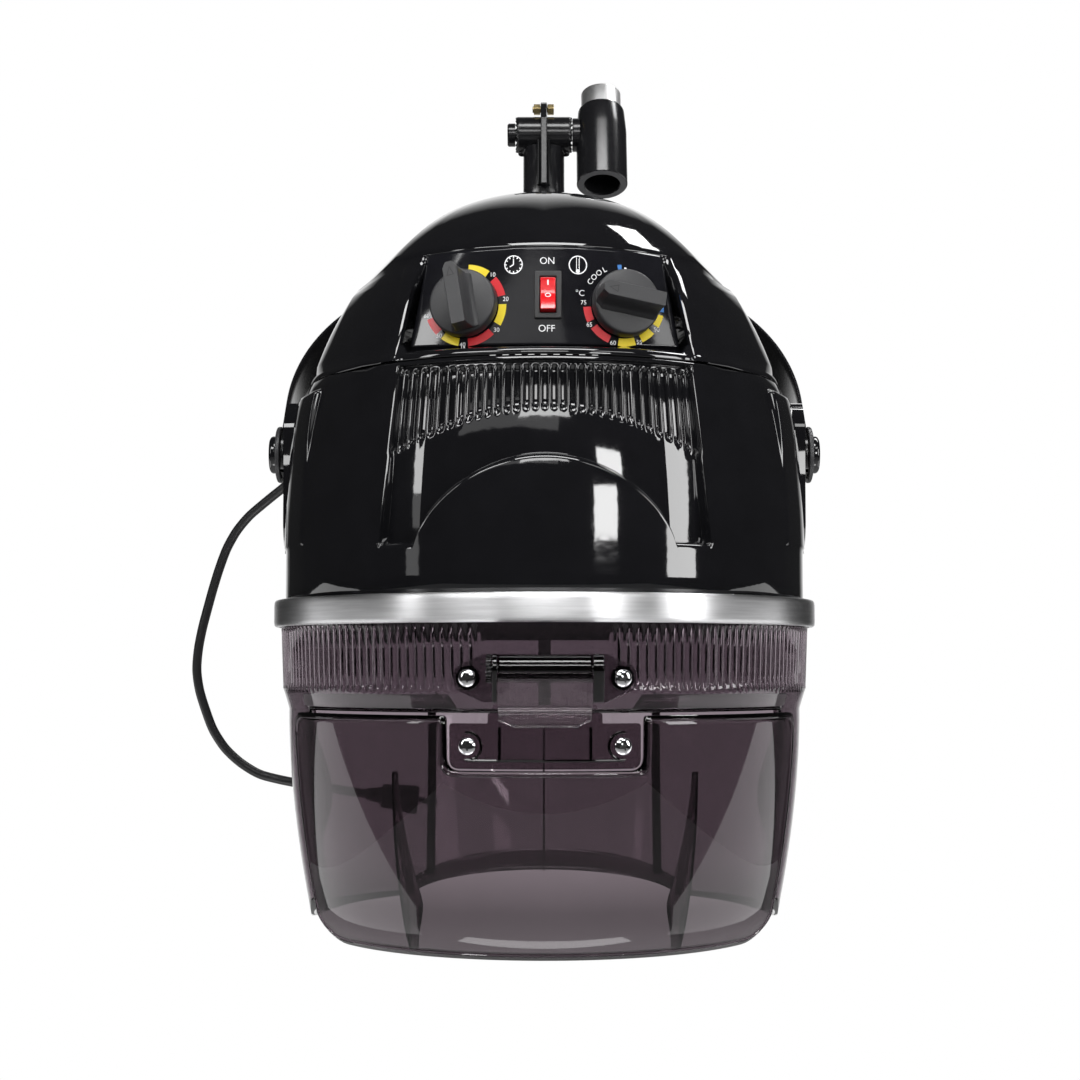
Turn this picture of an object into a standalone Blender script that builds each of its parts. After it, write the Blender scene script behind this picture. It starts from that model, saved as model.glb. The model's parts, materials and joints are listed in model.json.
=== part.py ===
"""Wall-mounted hood dryer: a dome housing with a smoky visor and flap, hung in a yoke from an arm socket.

Sizes are in metres. The hood's own frame has its origin on the hood's axis at the middle of the trim ring,
with X to the right, Y to the back and Z up. The finished model has its origin at the socket's mouth.
"""

import math

import bmesh
import bpy
from mathutils import Matrix, Vector

MM = 0.001

# Fits between pieces
SEAT = 0.3 * MM  # pieces that rest on each other
RUNNING = 0.5 * MM  # pieces that turn in each other

# Hood housing
HOOD_HALF_WIDTH = 177 * MM
FRONT_DEPTH = 187 * MM
REAR_DEPTH = 193 * MM
DOME_START = 40 * MM  # height where the wall starts to round over
DOME_HEIGHT = 250 * MM
DOME_POWER = 2.2
SEAM_HEIGHT = 154 * MM
HOUSING_WALL = 2.6 * MM

# Control niche in the upper cover
LEDGE_RISE = 12 * MM  # from the seam to the foot of the niche
NICHE_RISE = 63 * MM
NICHE_HALF_BOTTOM = 95 * MM
NICHE_HALF_TOP = 84 * MM
NICHE_SIDE_SHARE = 0.9  # where the sloped side walls meet the panel
PANEL_THICKNESS = 3 * MM
PANEL_FOOT_RADIUS = 380 * MM  # plan curve of the panel's lower edge

# Fluted recess in the lower housing
RECESS_HALF_TOP = 92 * MM
RECESS_HALF_BOTTOM = 103 * MM
RECESS_BOTTOM = 35 * MM
RECESS_DEPTH = 8 * MM
FLUTES = 32
FLUTE_DEPTH = 2.6 * MM
FLUTE_MARGIN = 5 * MM  # from the flutes to the seam
FLUTE_FOOT_MIDDLE = 119 * MM
FLUTE_FOOT_SIDE = 92 * MM
LAND_HALF_WIDTH = 80 * MM
LAND_APEX = 88 * MM

# Rear air intake in the upper cover
INTAKE_BOTTOM = 176 * MM
INTAKE_TOP = 214 * MM
INTAKE_SLOTS = 9
INTAKE_PITCH = 10 * MM

# Controls
KNOB_SPREAD = 50 * MM  # from the middle of the panel
KNOB_RISE = 26.5 * MM  # above the foot of the niche
KNOB_RADIUS = 21 * MM
KNOB_LENGTH = 19 * MM
KNOB_LIFT = 1.2 * MM
KNOB_SKIRT = 2.5 * MM
KNOB_BASE = 10 * MM
KNOB_CAP = 6 * MM  # over the end of the shaft
GRIP_WIDTH = 10.4 * MM
GRIP_INSET = 1 * MM  # of the bar's ends from the rim
GRIP_POINT = 5 * MM
TIMER_REST = 11  # degrees, pointer left of the top
TEMPERATURE_REST = 80
SHAFT_RADIUS = 3 * MM
NECK_RADIUS = 5 * MM
CONTROL_BODY_RADIUS = 19 * MM
CONTROL_BODY_LENGTH = 24 * MM
CONTROL_GAP = 2.4 * MM  # behind the curved panel
SWITCH_PLACE = 2 * MM
SWITCH_RISE = 32 * MM  # above the foot of the niche
SWITCH_WIDTH = 18 * MM
SWITCH_LENGTH = 31 * MM
SWITCH_FRAME = 3 * MM
SWITCH_FLANGE = 2.2 * MM
SWITCH_DEPTH = 22 * MM
SWITCH_LAP = 1.6 * MM  # of the flange over the panel
SWITCH_CORNER = 1.5 * MM
SWITCH_POCKET = 9 * MM
ROCKER_SINK = 2.5 * MM
ROCKER_FOOT = 5 * MM
ROCKER_CREST = 4.2 * MM
ROCKER_DIP = 2.4 * MM
ROCKER_TRAVEL = 18  # degrees

# Trim ring and the rims that it holds
RING_GAP = 1.5 * MM  # from the visor's collar
RING_HEIGHT = 18 * MM
RING_WALL = 3 * MM
RING_LIP = 1.5 * MM
BOWL_RIM = 3 * MM
RING_CHAMFER = 1 * MM
RING_SIDES = 40

# Visor
VISOR_WALL = 3 * MM
VISOR_TOP = 3.4 * MM
COLLAR_STEP = 3 * MM  # of the visor's collar outside the housing
COLLAR_FLUTES = 48
COLLAR_TAPER = 2 * MM
COLLAR_FLUTE_DEPTH = 1.6 * MM
OPENING_TOP = -63 * MM
RIM_BAND = 13 * MM  # from the flutes to the opening
OPENING_ANGLE = 60  # degrees each side of the front
WAIST_STEP = 6 * MM
RIM_TAPER = 17 * MM
VISOR_RIM = -206 * MM
NECK_RISE = 14 * MM
NECK_ANGLE = 40  # degrees each side of the back
FRONT_RISE = 15 * MM  # of the rim beside the flap
FRONT_RISE_ANGLE = 95  # degrees from the front where it has run out
FLAT_ANGLE = 16  # degrees each side of the front without flutes

# Flap
FLAP_WALL = 2.5 * MM
FLAP_CLEARANCE = 1 * MM
FLAP_DROP = 4 * MM  # below the top of the opening
FLAP_CREASE_RISE = 14 * MM  # above the visor's rim
FLAP_LAP = 6 * MM  # below the visor's rim
FLAP_TUCK = 12 * MM
FLAP_ANGLE = 66
FIN_PLACE = 88 * MM
FIN_THICKNESS = 3 * MM
FIN_DEPTH = 34 * MM
FIN_START = 35 * MM  # below the flap's top

# Flap hinge
HINGE_RISE = 26.5 * MM  # above the opening
BARREL_RADIUS = 8.5 * MM
BARREL_HALF_LENGTH = 34.5 * MM
MIDDLE_HALF_LENGTH = 27.5 * MM
HINGE_PIN_RADIUS = 2.5 * MM
PLATE_THICKNESS = 3 * MM
PLATE_HALF_WIDTH = 57 * MM
BRACKET_HALF_WIDTH = 54 * MM
BRACKET_HALF_HEIGHT = 14.2 * MM
EAR_HALF_HEIGHT = 6.5 * MM
PLATE_DROP = 2 * MM  # below the flap's top
PLATE_HEIGHT = 27 * MM
HINGE_SCREW_PLACE = 46 * MM
SCREW_HEAD_RADIUS = 5.4 * MM
SCREW_HEAD_HEIGHT = 3 * MM
SCREW_RADIUS = 2 * MM
DETENT_TEETH = 14
DETENT_WIDTH = 3.2 * MM
SCREW_LIFT = 1.2 * MM  # of a flat head over the curved plate

# Side pivots and yoke
PIVOT_HEIGHT = 111 * MM
PAD_STAND = 1.2 * MM  # of the pads' faces outside the housing
PAD_BOTTOM = 42 * MM
PAD_TOP = 146 * MM
PAD_HALF_WIDTH = 23 * MM
STRAP_THICKNESS = 2.8 * MM
STRAP_WIDTH = 34 * MM
YOKE_LEAN = 45  # degrees back from upright
YOKE_REACH = 220 * MM
YOKE_POWER = 2.1
YOKE_LEG = 40 * MM  # straight part of the strap beside each pad
DISC_RADIUS = 19.5 * MM
DISC_THICKNESS = 3.2 * MM
CAP_RADIUS = 13 * MM
CAP_THICKNESS = 4.8 * MM
CAP_CHAMFER = 1.6 * MM
STUD_RADIUS = 5 * MM
STUD_NUT_RADIUS = 9 * MM
STUD_NUT_LENGTH = 6 * MM

# Post, knuckle and arm socket
POST_RADIUS = 16 * MM
POST_WALL = 2.5 * MM
KNUCKLE_HEIGHT = 379 * MM
KNUCKLE_RADIUS = 14 * MM
KNUCKLE_HALF_LENGTH = 22 * MM
KNUCKLE_TEETH = 20
TOOTH_HEIGHT = 1.2 * MM
KNUCKLE_BOLT_RADIUS = 4.5 * MM
BOLT_HEAD_RADIUS = 9 * MM
BOLT_HEAD_HEIGHT = 6 * MM
BOLT_STOP = 2.2 * MM  # from the bolt's end to the socket's bore
GUSSET_THICKNESS = 5 * MM
GUSSET_DEPTH = 8 * MM
GUSSET_FOOT = 44 * MM  # below the knuckle's axis
GUSSET_EAR = 10 * MM  # above the knuckle tube
GUSSET_BOLT_RADIUS = 2.5 * MM
GUSSET_NUT_RADIUS = 4.4 * MM
GUSSET_NUT_LENGTH = 5 * MM
SOCKET_PLACE = 45 * MM  # to the right of the post
SOCKET_LEAN = 20  # degrees, mouth towards the front
SOCKET_DROP = 46 * MM  # from the knuckle's axis to the mouth
SOCKET_LENGTH = 68 * MM
SOCKET_RADIUS = 19.6 * MM
SOCKET_TOP_RADIUS = 18 * MM
SOCKET_BORE = 13.5 * MM
BUSH_RADIUS = 15.5 * MM
BUSH_DEPTH = 16 * MM
BUSH_RISE = 16 * MM

# Blower and heater
BOWL_FLAT = 64 * MM
BOWL_RISE = 43 * MM
BOWL_WALL = 2 * MM
BOWL_POWER = 1.6  # of its rise towards the middle
SKIRT_INSET = 5 * MM
SKIRT_DROP = 15 * MM
PEDESTAL_RADIUS = 34 * MM
PEDESTAL_HEIGHT = 30 * MM
PEDESTAL_WALL = 2 * MM
PEDESTAL_FLANGE = 8 * MM
MOTOR_RADIUS = 30 * MM
MOTOR_LENGTH = 50 * MM
MOTOR_SHOULDER = 6 * MM
MOTOR_SHAFT_RADIUS = 4 * MM
WHEEL_RADIUS = 70 * MM
WHEEL_HEIGHT = 34 * MM
WHEEL_LIFT = 6 * MM  # above the motor
WHEEL_PLATE = 2 * MM
WHEEL_BLADES = 10
BLADE_LEAN = -35  # degrees
HEATER_RADIUS = 106 * MM
HEATER_HALF_WIDTH = 14 * MM
HEATER_HEIGHT = 70 * MM
HEATER_BOARD = 4 * MM
COIL_RADIUS = 5 * MM
LEG_RADIUS = 3 * MM
CUTOUT_HALF_WIDTH = 6 * MM
CUTOUT_HEIGHT = 7 * MM
TERMINAL_HALF_WIDTH = 14 * MM
TERMINAL_HEIGHT = 12 * MM

# Mains cord
CORD_DIAMETER = 7 * MM
GLAND_ANGLE = 240  # degrees round from the front, at the rear left
GLAND_HEIGHT = 106 * MM
GLAND_LENGTH = 26 * MM
GLAND_ROOT_RADIUS = 8.5 * MM
GLAND_TIP_RADIUS = 5.4 * MM
GLAND_LIFT = 1.2 * MM  # of its flat flange over the curved wall
GLAND_FLANGE = 5 * MM
PLUG_LENGTH = 40 * MM
PLUG_RELIEF = 14 * MM
PLUG_HALF_WIDTH = 12.5 * MM
PLUG_HALF_DEPTH = 8 * MM
PLUG_CORNER = 5 * MM
PIN_RADIUS = 2.4 * MM
PIN_LENGTH = 18 * MM
PIN_SPREAD = 6.5 * MM

# Places that follow from the sizes above
FLUTE_TOP = SEAM_HEIGHT - FLUTE_MARGIN
NICHE_BOTTOM = SEAM_HEIGHT + LEDGE_RISE
NICHE_TOP = NICHE_BOTTOM + NICHE_RISE
KNOB_HEIGHT = NICHE_BOTTOM + KNOB_RISE
SWITCH_HEIGHT = NICHE_BOTTOM + SWITCH_RISE
COLLAR_HALF_WIDTH = HOOD_HALF_WIDTH + COLLAR_STEP
RING_HALF_WIDTH = COLLAR_HALF_WIDTH + RING_GAP + RING_WALL
SKIRT_HALF_WIDTH = HOOD_HALF_WIDTH - SKIRT_INSET
COLLAR_FLUTE_FOOT = OPENING_TOP + RIM_BAND
VISOR_WAIST_HALF_WIDTH = COLLAR_HALF_WIDTH - WAIST_STEP
VISOR_RIM_HALF_WIDTH = VISOR_WAIST_HALF_WIDTH - RIM_TAPER
FLAP_TOP = OPENING_TOP - FLAP_DROP
FLAP_CREASE = VISOR_RIM + FLAP_CREASE_RISE
FLAP_BOTTOM = VISOR_RIM - FLAP_LAP
FIN_TOP = FLAP_TOP - FIN_START
HINGE_HEIGHT = OPENING_TOP + HINGE_RISE
BRACKET_HEIGHT = HINGE_HEIGHT + BARREL_RADIUS - BRACKET_HALF_HEIGHT
PLATE_TOP = FLAP_TOP - PLATE_DROP
PLATE_BOTTOM = PLATE_TOP - PLATE_HEIGHT
FLAP_SCREW_HEIGHT = (PLATE_TOP + PLATE_BOTTOM) / 2
PAD_FACE = HOOD_HALF_WIDTH + PAD_STAND
YOKE_LINE = Vector((0, math.sin(math.radians(YOKE_LEAN)), math.cos(math.radians(YOKE_LEAN))))
PIVOT = Vector((0, 0, PIVOT_HEIGHT))
CROWN = PIVOT + YOKE_LINE * YOKE_REACH
KNUCKLE = Vector((0, CROWN.y, KNUCKLE_HEIGHT))
SOCKET_UP = Vector((0, math.sin(math.radians(SOCKET_LEAN)), math.cos(math.radians(SOCKET_LEAN))))
MOUTH = KNUCKLE + Vector((SOCKET_PLACE, 0, 0)) - SOCKET_UP * SOCKET_DROP
BOWL_EDGE = HOOD_HALF_WIDTH - HOUSING_WALL - FLUTE_DEPTH - 3 * MM  # where the bowl starts to rise
RIM_HEIGHT = VISOR_TOP + BOWL_RIM + 2 * SEAT  # lower edge of the housing
BRACKET_FACE = (COLLAR_HALF_WIDTH + RUNNING + PLATE_THICKNESS) * FRONT_DEPTH / HOOD_HALF_WIDTH
HINGE_LINE = Vector((0, -BRACKET_FACE - BARREL_RADIUS, HINGE_HEIGHT))


# Finishes

def finish(name, colour, roughness, metallic=0.0, alpha=1.0):
    """One material with a Principled surface."""
    made = bpy.data.materials.new(name)
    made.use_nodes = True
    surface = made.node_tree.nodes["Principled BSDF"]
    surface.inputs["Base Color"].default_value = (*colour, 1)
    surface.inputs["Roughness"].default_value = roughness
    surface.inputs["Metallic"].default_value = metallic
    surface.inputs["Alpha"].default_value = alpha
    made.diffuse_color = (*colour, alpha)
    return made


def make_finishes():
    return {
        "gloss_black": finish("gloss_black", (0.012, 0.012, 0.014), 0.08),
        "panel_black": finish("panel_black", (0.018, 0.018, 0.02), 0.2),
        "charcoal": finish("charcoal", (0.05, 0.05, 0.053), 0.55),
        "switch_grey": finish("switch_grey", (0.04, 0.04, 0.042), 0.4),
        "red_lens": finish("red_lens", (0.55, 0.02, 0.03), 0.25),
        "aluminium": finish("aluminium", (0.72, 0.72, 0.73), 0.3, 1.0),
        "smoke": finish("smoke", (0.2, 0.14, 0.17), 0.08, 0.0, 0.55),
        "steel_black": finish("steel_black", (0.02, 0.02, 0.022), 0.35),
        "chrome": finish("chrome", (0.8, 0.8, 0.82), 0.1, 1.0),
        "zinc_yellow": finish("zinc_yellow", (0.5, 0.36, 0.12), 0.35, 1.0),
        "cord_black": finish("cord_black", (0.015, 0.015, 0.016), 0.45),
        "inner_metal": finish("inner_metal", (0.45, 0.45, 0.46), 0.4, 1.0),
        "inner_board": finish("inner_board", (0.5, 0.44, 0.34), 0.7),
        "inner_plastic": finish("inner_plastic", (0.3, 0.3, 0.3), 0.5),
    }


# Building blocks

def thick_grid(rows, columns, outer, inner, keep=None, closed=True, inner_step=1, tips=None):
    """A closed wall between an outer and an inner grid of points.

    outer and inner give the point at a row and a column. keep(row, cell) leaves cells out, which opens the
    wall there. inner_step is how many outer columns one inner cell spans. tips are the two end points of a
    wall that closes over its last row.
    """
    bm = bmesh.new()
    made = {}
    cells = columns // inner_step if closed else (columns - 1) // inner_step

    def vertex(side, row, column):
        key = (side, row, column % columns if closed else column)
        if key not in made:
            made[key] = bm.verts.new((inner, outer)[side](row, key[2]))
        return made[key]

    def run(side, row, cell):
        step = 1 if side else inner_step
        return [vertex(side, row, c) for c in range(cell * inner_step, (cell + 1) * inner_step + 1, step)]

    def there(row, cell):
        if closed:
            cell %= cells
        inside = 0 <= row < rows - 1 and 0 <= cell < cells
        return inside and (keep is None or keep(row, cell))

    def close(row, cell):
        bm.faces.new(run(1, row, cell) + run(0, row, cell)[::-1])

    def close_side(row, column):
        bm.faces.new([vertex(s, r, column) for s, r in ((1, row), (1, row + 1), (0, row + 1), (0, row))])

    for row in range(rows - 1):
        for cell in range(cells):
            if not there(row, cell):
                continue
            low, high = run(1, row, cell), run(1, row + 1, cell)
            for i in range(inner_step):
                bm.faces.new([low[i], low[i + 1], high[i + 1], high[i]])
            bm.faces.new(run(0, row, cell) + run(0, row + 1, cell)[::-1])
            if not there(row - 1, cell):
                close(row, cell)
            if not there(row + 1, cell) and not (tips and row == rows - 2):
                close(row + 1, cell)
            if not there(row, cell - 1):
                close_side(row, cell * inner_step)
            if not there(row, cell + 1):
                close_side(row, (cell + 1) * inner_step)
    if tips:
        ends = [bm.verts.new(tips[1]), bm.verts.new(tips[0])]
        for cell in range(cells):
            for side in (0, 1):
                line = run(side, rows - 1, cell)
                for a, b in zip(line, line[1:]):
                    bm.faces.new([a, b, ends[side]])
    return bm


def turned(profile, sides=24):
    """A turned solid about Z. A profile that starts and ends on the axis is solid, any other is a ring."""
    bm = bmesh.new()
    turns = [2 * math.pi * i / sides for i in range(sides)]
    rings = []
    for radius, height in profile:
        if radius == 0:
            rings.append([bm.verts.new((0, 0, height))] * sides)
        else:
            spots = [(radius * math.cos(a), radius * math.sin(a), height) for a in turns]
            rings.append([bm.verts.new(spot) for spot in spots])
    pairs = list(zip(rings, rings[1:]))
    if profile[0][0] > 0:
        pairs.append((rings[-1], rings[0]))
    for first, second in pairs:
        for i in range(sides):
            j = (i + 1) % sides
            corners = dict.fromkeys((first[i], first[j], second[j], second[i]))
            if len(corners) > 2:
                bm.faces.new(list(corners))
    return bm


def rod(radius, low, high, sides=16):
    """A cylinder about Z."""
    return turned([(0, low), (radius, low), (radius, high), (0, high)], sides)


def oval_ring(section, around):
    """A ring that follows the hood's oval plan. The section holds half widths and heights."""
    bm = bmesh.new()
    rings = []
    for i in range(around):
        turn = 2 * math.pi * i / around
        rings.append([bm.verts.new(plan_point(half_width, turn, height)) for half_width, height in section])
    for i in range(around):
        first, second = rings[i], rings[(i + 1) % around]
        for k in range(len(section)):
            j = (k + 1) % len(section)
            bm.faces.new([first[k], second[k], second[j], first[j]])
    return bm


def extruded(outline, low, high):
    """A flat outline in X and Y, drawn out along Z from low to high."""
    bm = bmesh.new()
    bottom = [bm.verts.new((x, y, low)) for x, y in outline]
    top = [bm.verts.new((x, y, high)) for x, y in outline]
    bm.faces.new(bottom[::-1])
    bm.faces.new(top)
    for i in range(len(outline)):
        j = (i + 1) % len(outline)
        bm.faces.new([bottom[i], bottom[j], top[j], top[i]])
    return bm


def block(low, high):
    """A box between two corners."""
    outline = [(low[0], low[1]), (high[0], low[1]), (high[0], high[1]), (low[0], high[1])]
    return extruded(outline, low[2], high[2])


def rounded(half_x, half_y, radius, steps=4):
    """A rectangle's outline with round corners."""
    points = []
    for quarter, (sx, sy) in enumerate(((1, 1), (-1, 1), (-1, -1), (1, -1))):
        for i in range(steps + 1):
            turn = math.pi / 2 * (quarter + i / steps)
            x = sx * (half_x - radius) + radius * math.cos(turn)
            y = sy * (half_y - radius) + radius * math.sin(turn)
            points.append((x, y))
    return points


def aimed(axis, place):
    """The frame at a place whose Z runs along an axis and whose Y stays as near upright as it can."""
    z = Vector(axis).normalized()
    up = Vector((0, 0, 1)) if abs(z.z) < 0.9 else Vector((0, 1, 0))
    x = up.cross(z).normalized()
    y = z.cross(x)
    return Matrix.Translation(place) @ Matrix((x, y, z)).transposed().to_4x4()


def gathered(shapes):
    """One shape out of several."""
    whole = bmesh.new()
    for shape in shapes:
        mesh = bpy.data.meshes.new("shape")
        shape.to_mesh(mesh)
        shape.free()
        whole.from_mesh(mesh)
        bpy.data.meshes.remove(mesh)
    return whole


# Stands an outline on its side: its X becomes Y, its Y becomes Z, and its thickness runs along X
SIDEWAYS = Matrix(((0, 0, 1, 0), (1, 0, 0, 0), (0, 1, 0, 0), (0, 0, 0, 1)))


class Workshop:
    """Keeps the finishes and the frames that pieces hang from, and turns shapes into named objects."""

    def __init__(self):
        self.finishes = make_finishes()
        self.frames = {}

    def frame(self, name, place, parent=None):
        """An empty on a joint's axis, at a place in the hood's frame."""
        empty = bpy.data.objects.new(f"{name}_axis", None)
        bpy.context.collection.objects.link(empty)
        empty.location = Vector(place) - (self.frames[parent][1] if parent else MOUTH)
        empty.parent = self.frames[parent][0] if parent else None
        self.frames[name] = (empty, Vector(place))

    def piece(self, name, bm, look, frame, place=None, sharp=35):
        """A named object from a shape in the hood's frame, or in the frame that place gives."""
        if place is not None:
            bm.transform(place)
        bmesh.ops.recalc_face_normals(bm, faces=bm.faces)
        mesh = bpy.data.meshes.new(name)
        bm.to_mesh(mesh)
        bm.free()
        mesh.shade_smooth()
        mesh.set_sharp_from_angle(angle=math.radians(sharp))
        made = bpy.data.objects.new(name, mesh)
        bpy.context.collection.objects.link(made)
        mesh.materials.append(self.finishes[look])
        made.parent, origin = self.frames[frame]
        made.location = -origin
        return made

    def shape(self, target, operation, bm, place=None):
        """Joins a shape to a piece, or cuts it out of it."""
        name = f"{target.name}.{operation.lower()}.{len(target.modifiers)}"
        if place is not None:
            bm.transform(place)
        bmesh.ops.recalc_face_normals(bm, faces=bm.faces)
        mesh = bpy.data.meshes.new(name)
        bm.to_mesh(mesh)
        bm.free()
        tool = bpy.data.objects.new(name, mesh)
        bpy.context.collection.objects.link(tool)
        tool.parent = target.parent
        tool.location = target.location
        tool.hide_render = True
        tool.display_type = "WIRE"
        step = target.modifiers.new(operation.title(), "BOOLEAN")
        step.operation = operation
        step.solver = "EXACT"
        step.object = tool

    def cut(self, target, bm, place=None):
        self.shape(target, "DIFFERENCE", bm, place)

    def join(self, target, bm, place=None):
        self.shape(target, "UNION", bm, place)


# Forms of the hood

def dome_share(height):
    """How much of its base width the housing has at a height."""
    rise = max(0.0, height - DOME_START) / DOME_HEIGHT
    return max(0.0, 1 - rise**DOME_POWER) ** (1 / DOME_POWER)


def plan_point(half_width, turn, height):
    """A point on the hood's oval plan, turned from the front towards +X."""
    depth = FRONT_DEPTH if math.cos(turn) > 0 else REAR_DEPTH
    return Vector(
        (half_width * math.sin(turn), -half_width * depth / HOOD_HALF_WIDTH * math.cos(turn), height)
    )


def front_point(half_width, x, height):
    """The point of the oval plan's front half at a distance from the middle."""
    return plan_point(half_width, math.asin(max(-1.0, min(1.0, x / half_width))), height)


def mix(a, b, share):
    return a + (b - a) * share


def outward(turn):
    """The oval plan's outward direction at a turn."""
    ratio = (FRONT_DEPTH if math.cos(turn) > 0 else REAR_DEPTH) / HOOD_HALF_WIDTH
    return Vector((math.sin(turn) * ratio, -math.cos(turn), 0)).normalized()


def niche_half_width(height):
    """Half the width of the control niche at a height."""
    share = (height - NICHE_BOTTOM) / NICHE_RISE
    if share > 1:
        return NICHE_HALF_TOP * dome_share(height) / dome_share(NICHE_TOP)
    return mix(NICHE_HALF_BOTTOM, NICHE_HALF_TOP, share)


def panel_point(across, height):
    """The control panel's face: across runs from -1 to 1 between the niche's side walls."""
    half_top = HOOD_HALF_WIDTH * dome_share(NICHE_TOP)
    top = front_point(half_top, across * NICHE_SIDE_SHARE * NICHE_HALF_TOP, NICHE_TOP)
    foot_x = across * NICHE_SIDE_SHARE * NICHE_HALF_BOTTOM
    foot_y = front_point(half_top, 0, NICHE_TOP).y + foot_x**2 / (2 * PANEL_FOOT_RADIUS)
    share = (height - NICHE_BOTTOM) / NICHE_RISE
    return Vector((mix(foot_x, top.x, share), mix(foot_y, top.y, share), height))


def panel_frame(x, height):
    """The frame on the panel's face at a place, with Z pointing out of it."""
    across = x / (NICHE_SIDE_SHARE * niche_half_width(height))
    step = 0.02
    right = panel_point(across + step, height) - panel_point(across - step, height)
    up = panel_point(across, height + MM) - panel_point(across, height - MM)
    return aimed(right.cross(up), panel_point(across, height))


def round_trip(fronts, sides, height, edge):
    """Turns round the hood: columns in front at shares of an edge's distance, and even ones behind."""
    half_width = HOOD_HALF_WIDTH * dome_share(height)
    turns = [math.asin(max(-1.0, min(1.0, share * edge / half_width))) for share in fronts]
    last = turns[-1]
    step = (2 * math.pi - 2 * last) / (sides + 1)
    return turns + [last + step * (i + 1) for i in range(sides)]


def upper_cover(shop):
    window = 12
    fronts = [-1] + [NICHE_SIDE_SHARE * (2 * i / window - 1) for i in range(window + 1)] + [1]
    sides = 19
    heights = [SEAM_HEIGHT + SEAT] + [NICHE_BOTTOM + NICHE_RISE * i / 4 for i in range(5)]
    top = DOME_START + DOME_HEIGHT
    heights += [mix(NICHE_TOP, top, share) for share in (0.3, 0.58, 0.8, 0.94)]
    middle = Vector((0, 0, PIVOT_HEIGHT / 2))

    def in_window(column):
        return 1 <= column <= window + 1

    def outer(row, column):
        height = heights[row]
        if 1 <= row <= 5 and in_window(column):
            return panel_point(2 * (column - 1) / window - 1, height)
        turn = round_trip(fronts, sides, height, niche_half_width(height))[column]
        return plan_point(HOOD_HALF_WIDTH * dome_share(height), turn, height)

    def inner(row, column):
        point = outer(row, column)
        if 1 <= row <= 5 and in_window(column):
            sink = Vector((0, HOUSING_WALL, 0))
            return point + (sink if row > 1 else sink * 0.4 - Vector((0, 0, HOUSING_WALL)))
        inward = middle - point
        if row == 0:
            inward.z = 0
        return point + inward.normalized() * HOUSING_WALL

    def keep(row, cell):
        return not (1 <= row <= 4 and 1 <= cell <= window)

    tips = (Vector((0, 0, top)), Vector((0, 0, top - HOUSING_WALL)))
    shell = thick_grid(len(heights), len(fronts) + sides, outer, inner, keep, tips=tips)
    cover = shop.piece("upper_cover", shell, "gloss_black", "hood")
    slots = []
    half = INTAKE_PITCH / 4
    for i in range(INTAKE_SLOTS):
        x = (i - (INTAKE_SLOTS - 1) / 2) * INTAKE_PITCH
        slots.append(block((x - half, POST_RADIUS, INTAKE_BOTTOM), (x + half, REAR_DEPTH, INTAKE_TOP)))
    shop.cut(cover, gathered(slots))


def land_height(x):
    """The upper edge of the smooth arched land in the recess."""
    share = max(0.0, 1 - (x / LAND_HALF_WIDTH) ** 2)
    return RECESS_BOTTOM + MM + (LAND_APEX - RECESS_BOTTOM) * share**0.6


def lower_housing(shop):
    fronts = [-1.03] + [i / FLUTES - 1 for i in range(2 * FLUTES + 1)] + [1.03]
    inner_step = 2
    sides = 31 + (len(fronts) + 31) % inner_step
    floor = [0, 0, 0, 1, 0.7, 0.62, 0.45, 0.4, 0]
    top = SEAM_HEIGHT
    plain = [RIM_HEIGHT] + [mix(RECESS_BOTTOM, top, i / 7) for i in range(8)]

    def edge(height):
        share = (height - RECESS_BOTTOM) / (FLUTE_TOP - RECESS_BOTTOM)
        return mix(RECESS_HALF_BOTTOM, RECESS_HALF_TOP, share)

    def height_at(row, column):
        if column >= len(fronts) or not 2 <= row <= 7:
            return plain[row]
        x = fronts[column] * RECESS_HALF_BOTTOM
        land = land_height(x)
        foot = mix(FLUTE_FOOT_MIDDLE, FLUTE_FOOT_SIDE, min(1.0, abs(fronts[column])) ** 2)
        start = land + 3 * MM
        run = {2: land, 3: start, 4: foot, 5: foot + 8 * MM, 6: FLUTE_TOP - 4 * MM}
        return run.get(row, FLUTE_TOP)

    def point(row, column, sink):
        height = height_at(row, column)
        inset = RECESS_DEPTH * floor[row] if 1 <= column <= len(fronts) - 2 else 0
        turn = round_trip(fronts, sides, height, edge(height))[column]
        return plan_point(HOOD_HALF_WIDTH * dome_share(height) - inset - sink, turn, height)

    def outer(row, column):
        groove = row in (5, 6) and 1 < column < len(fronts) - 2 and column % 2 == 0
        return point(row, column, FLUTE_DEPTH if groove else 0)

    def inner(row, column):
        return point(row, column, HOUSING_WALL + (FLUTE_DEPTH if column < len(fronts) else 0))

    shell = thick_grid(len(plain), len(fronts) + sides, outer, inner, inner_step=inner_step)
    housing = shop.piece("lower_housing", shell, "gloss_black", "hood")
    for side in (-1, 1):
        drill = rod(STUD_RADIUS + SEAT, HOOD_HALF_WIDTH / 2, 2 * HOOD_HALF_WIDTH)
        shop.cut(housing, drill, aimed((side, 0, 0), PIVOT))
    shop.cut(housing, rod(GLAND_TIP_RADIUS + SEAT, -4 * HOUSING_WALL, GLAND_FLANGE), gland_frame())


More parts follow.
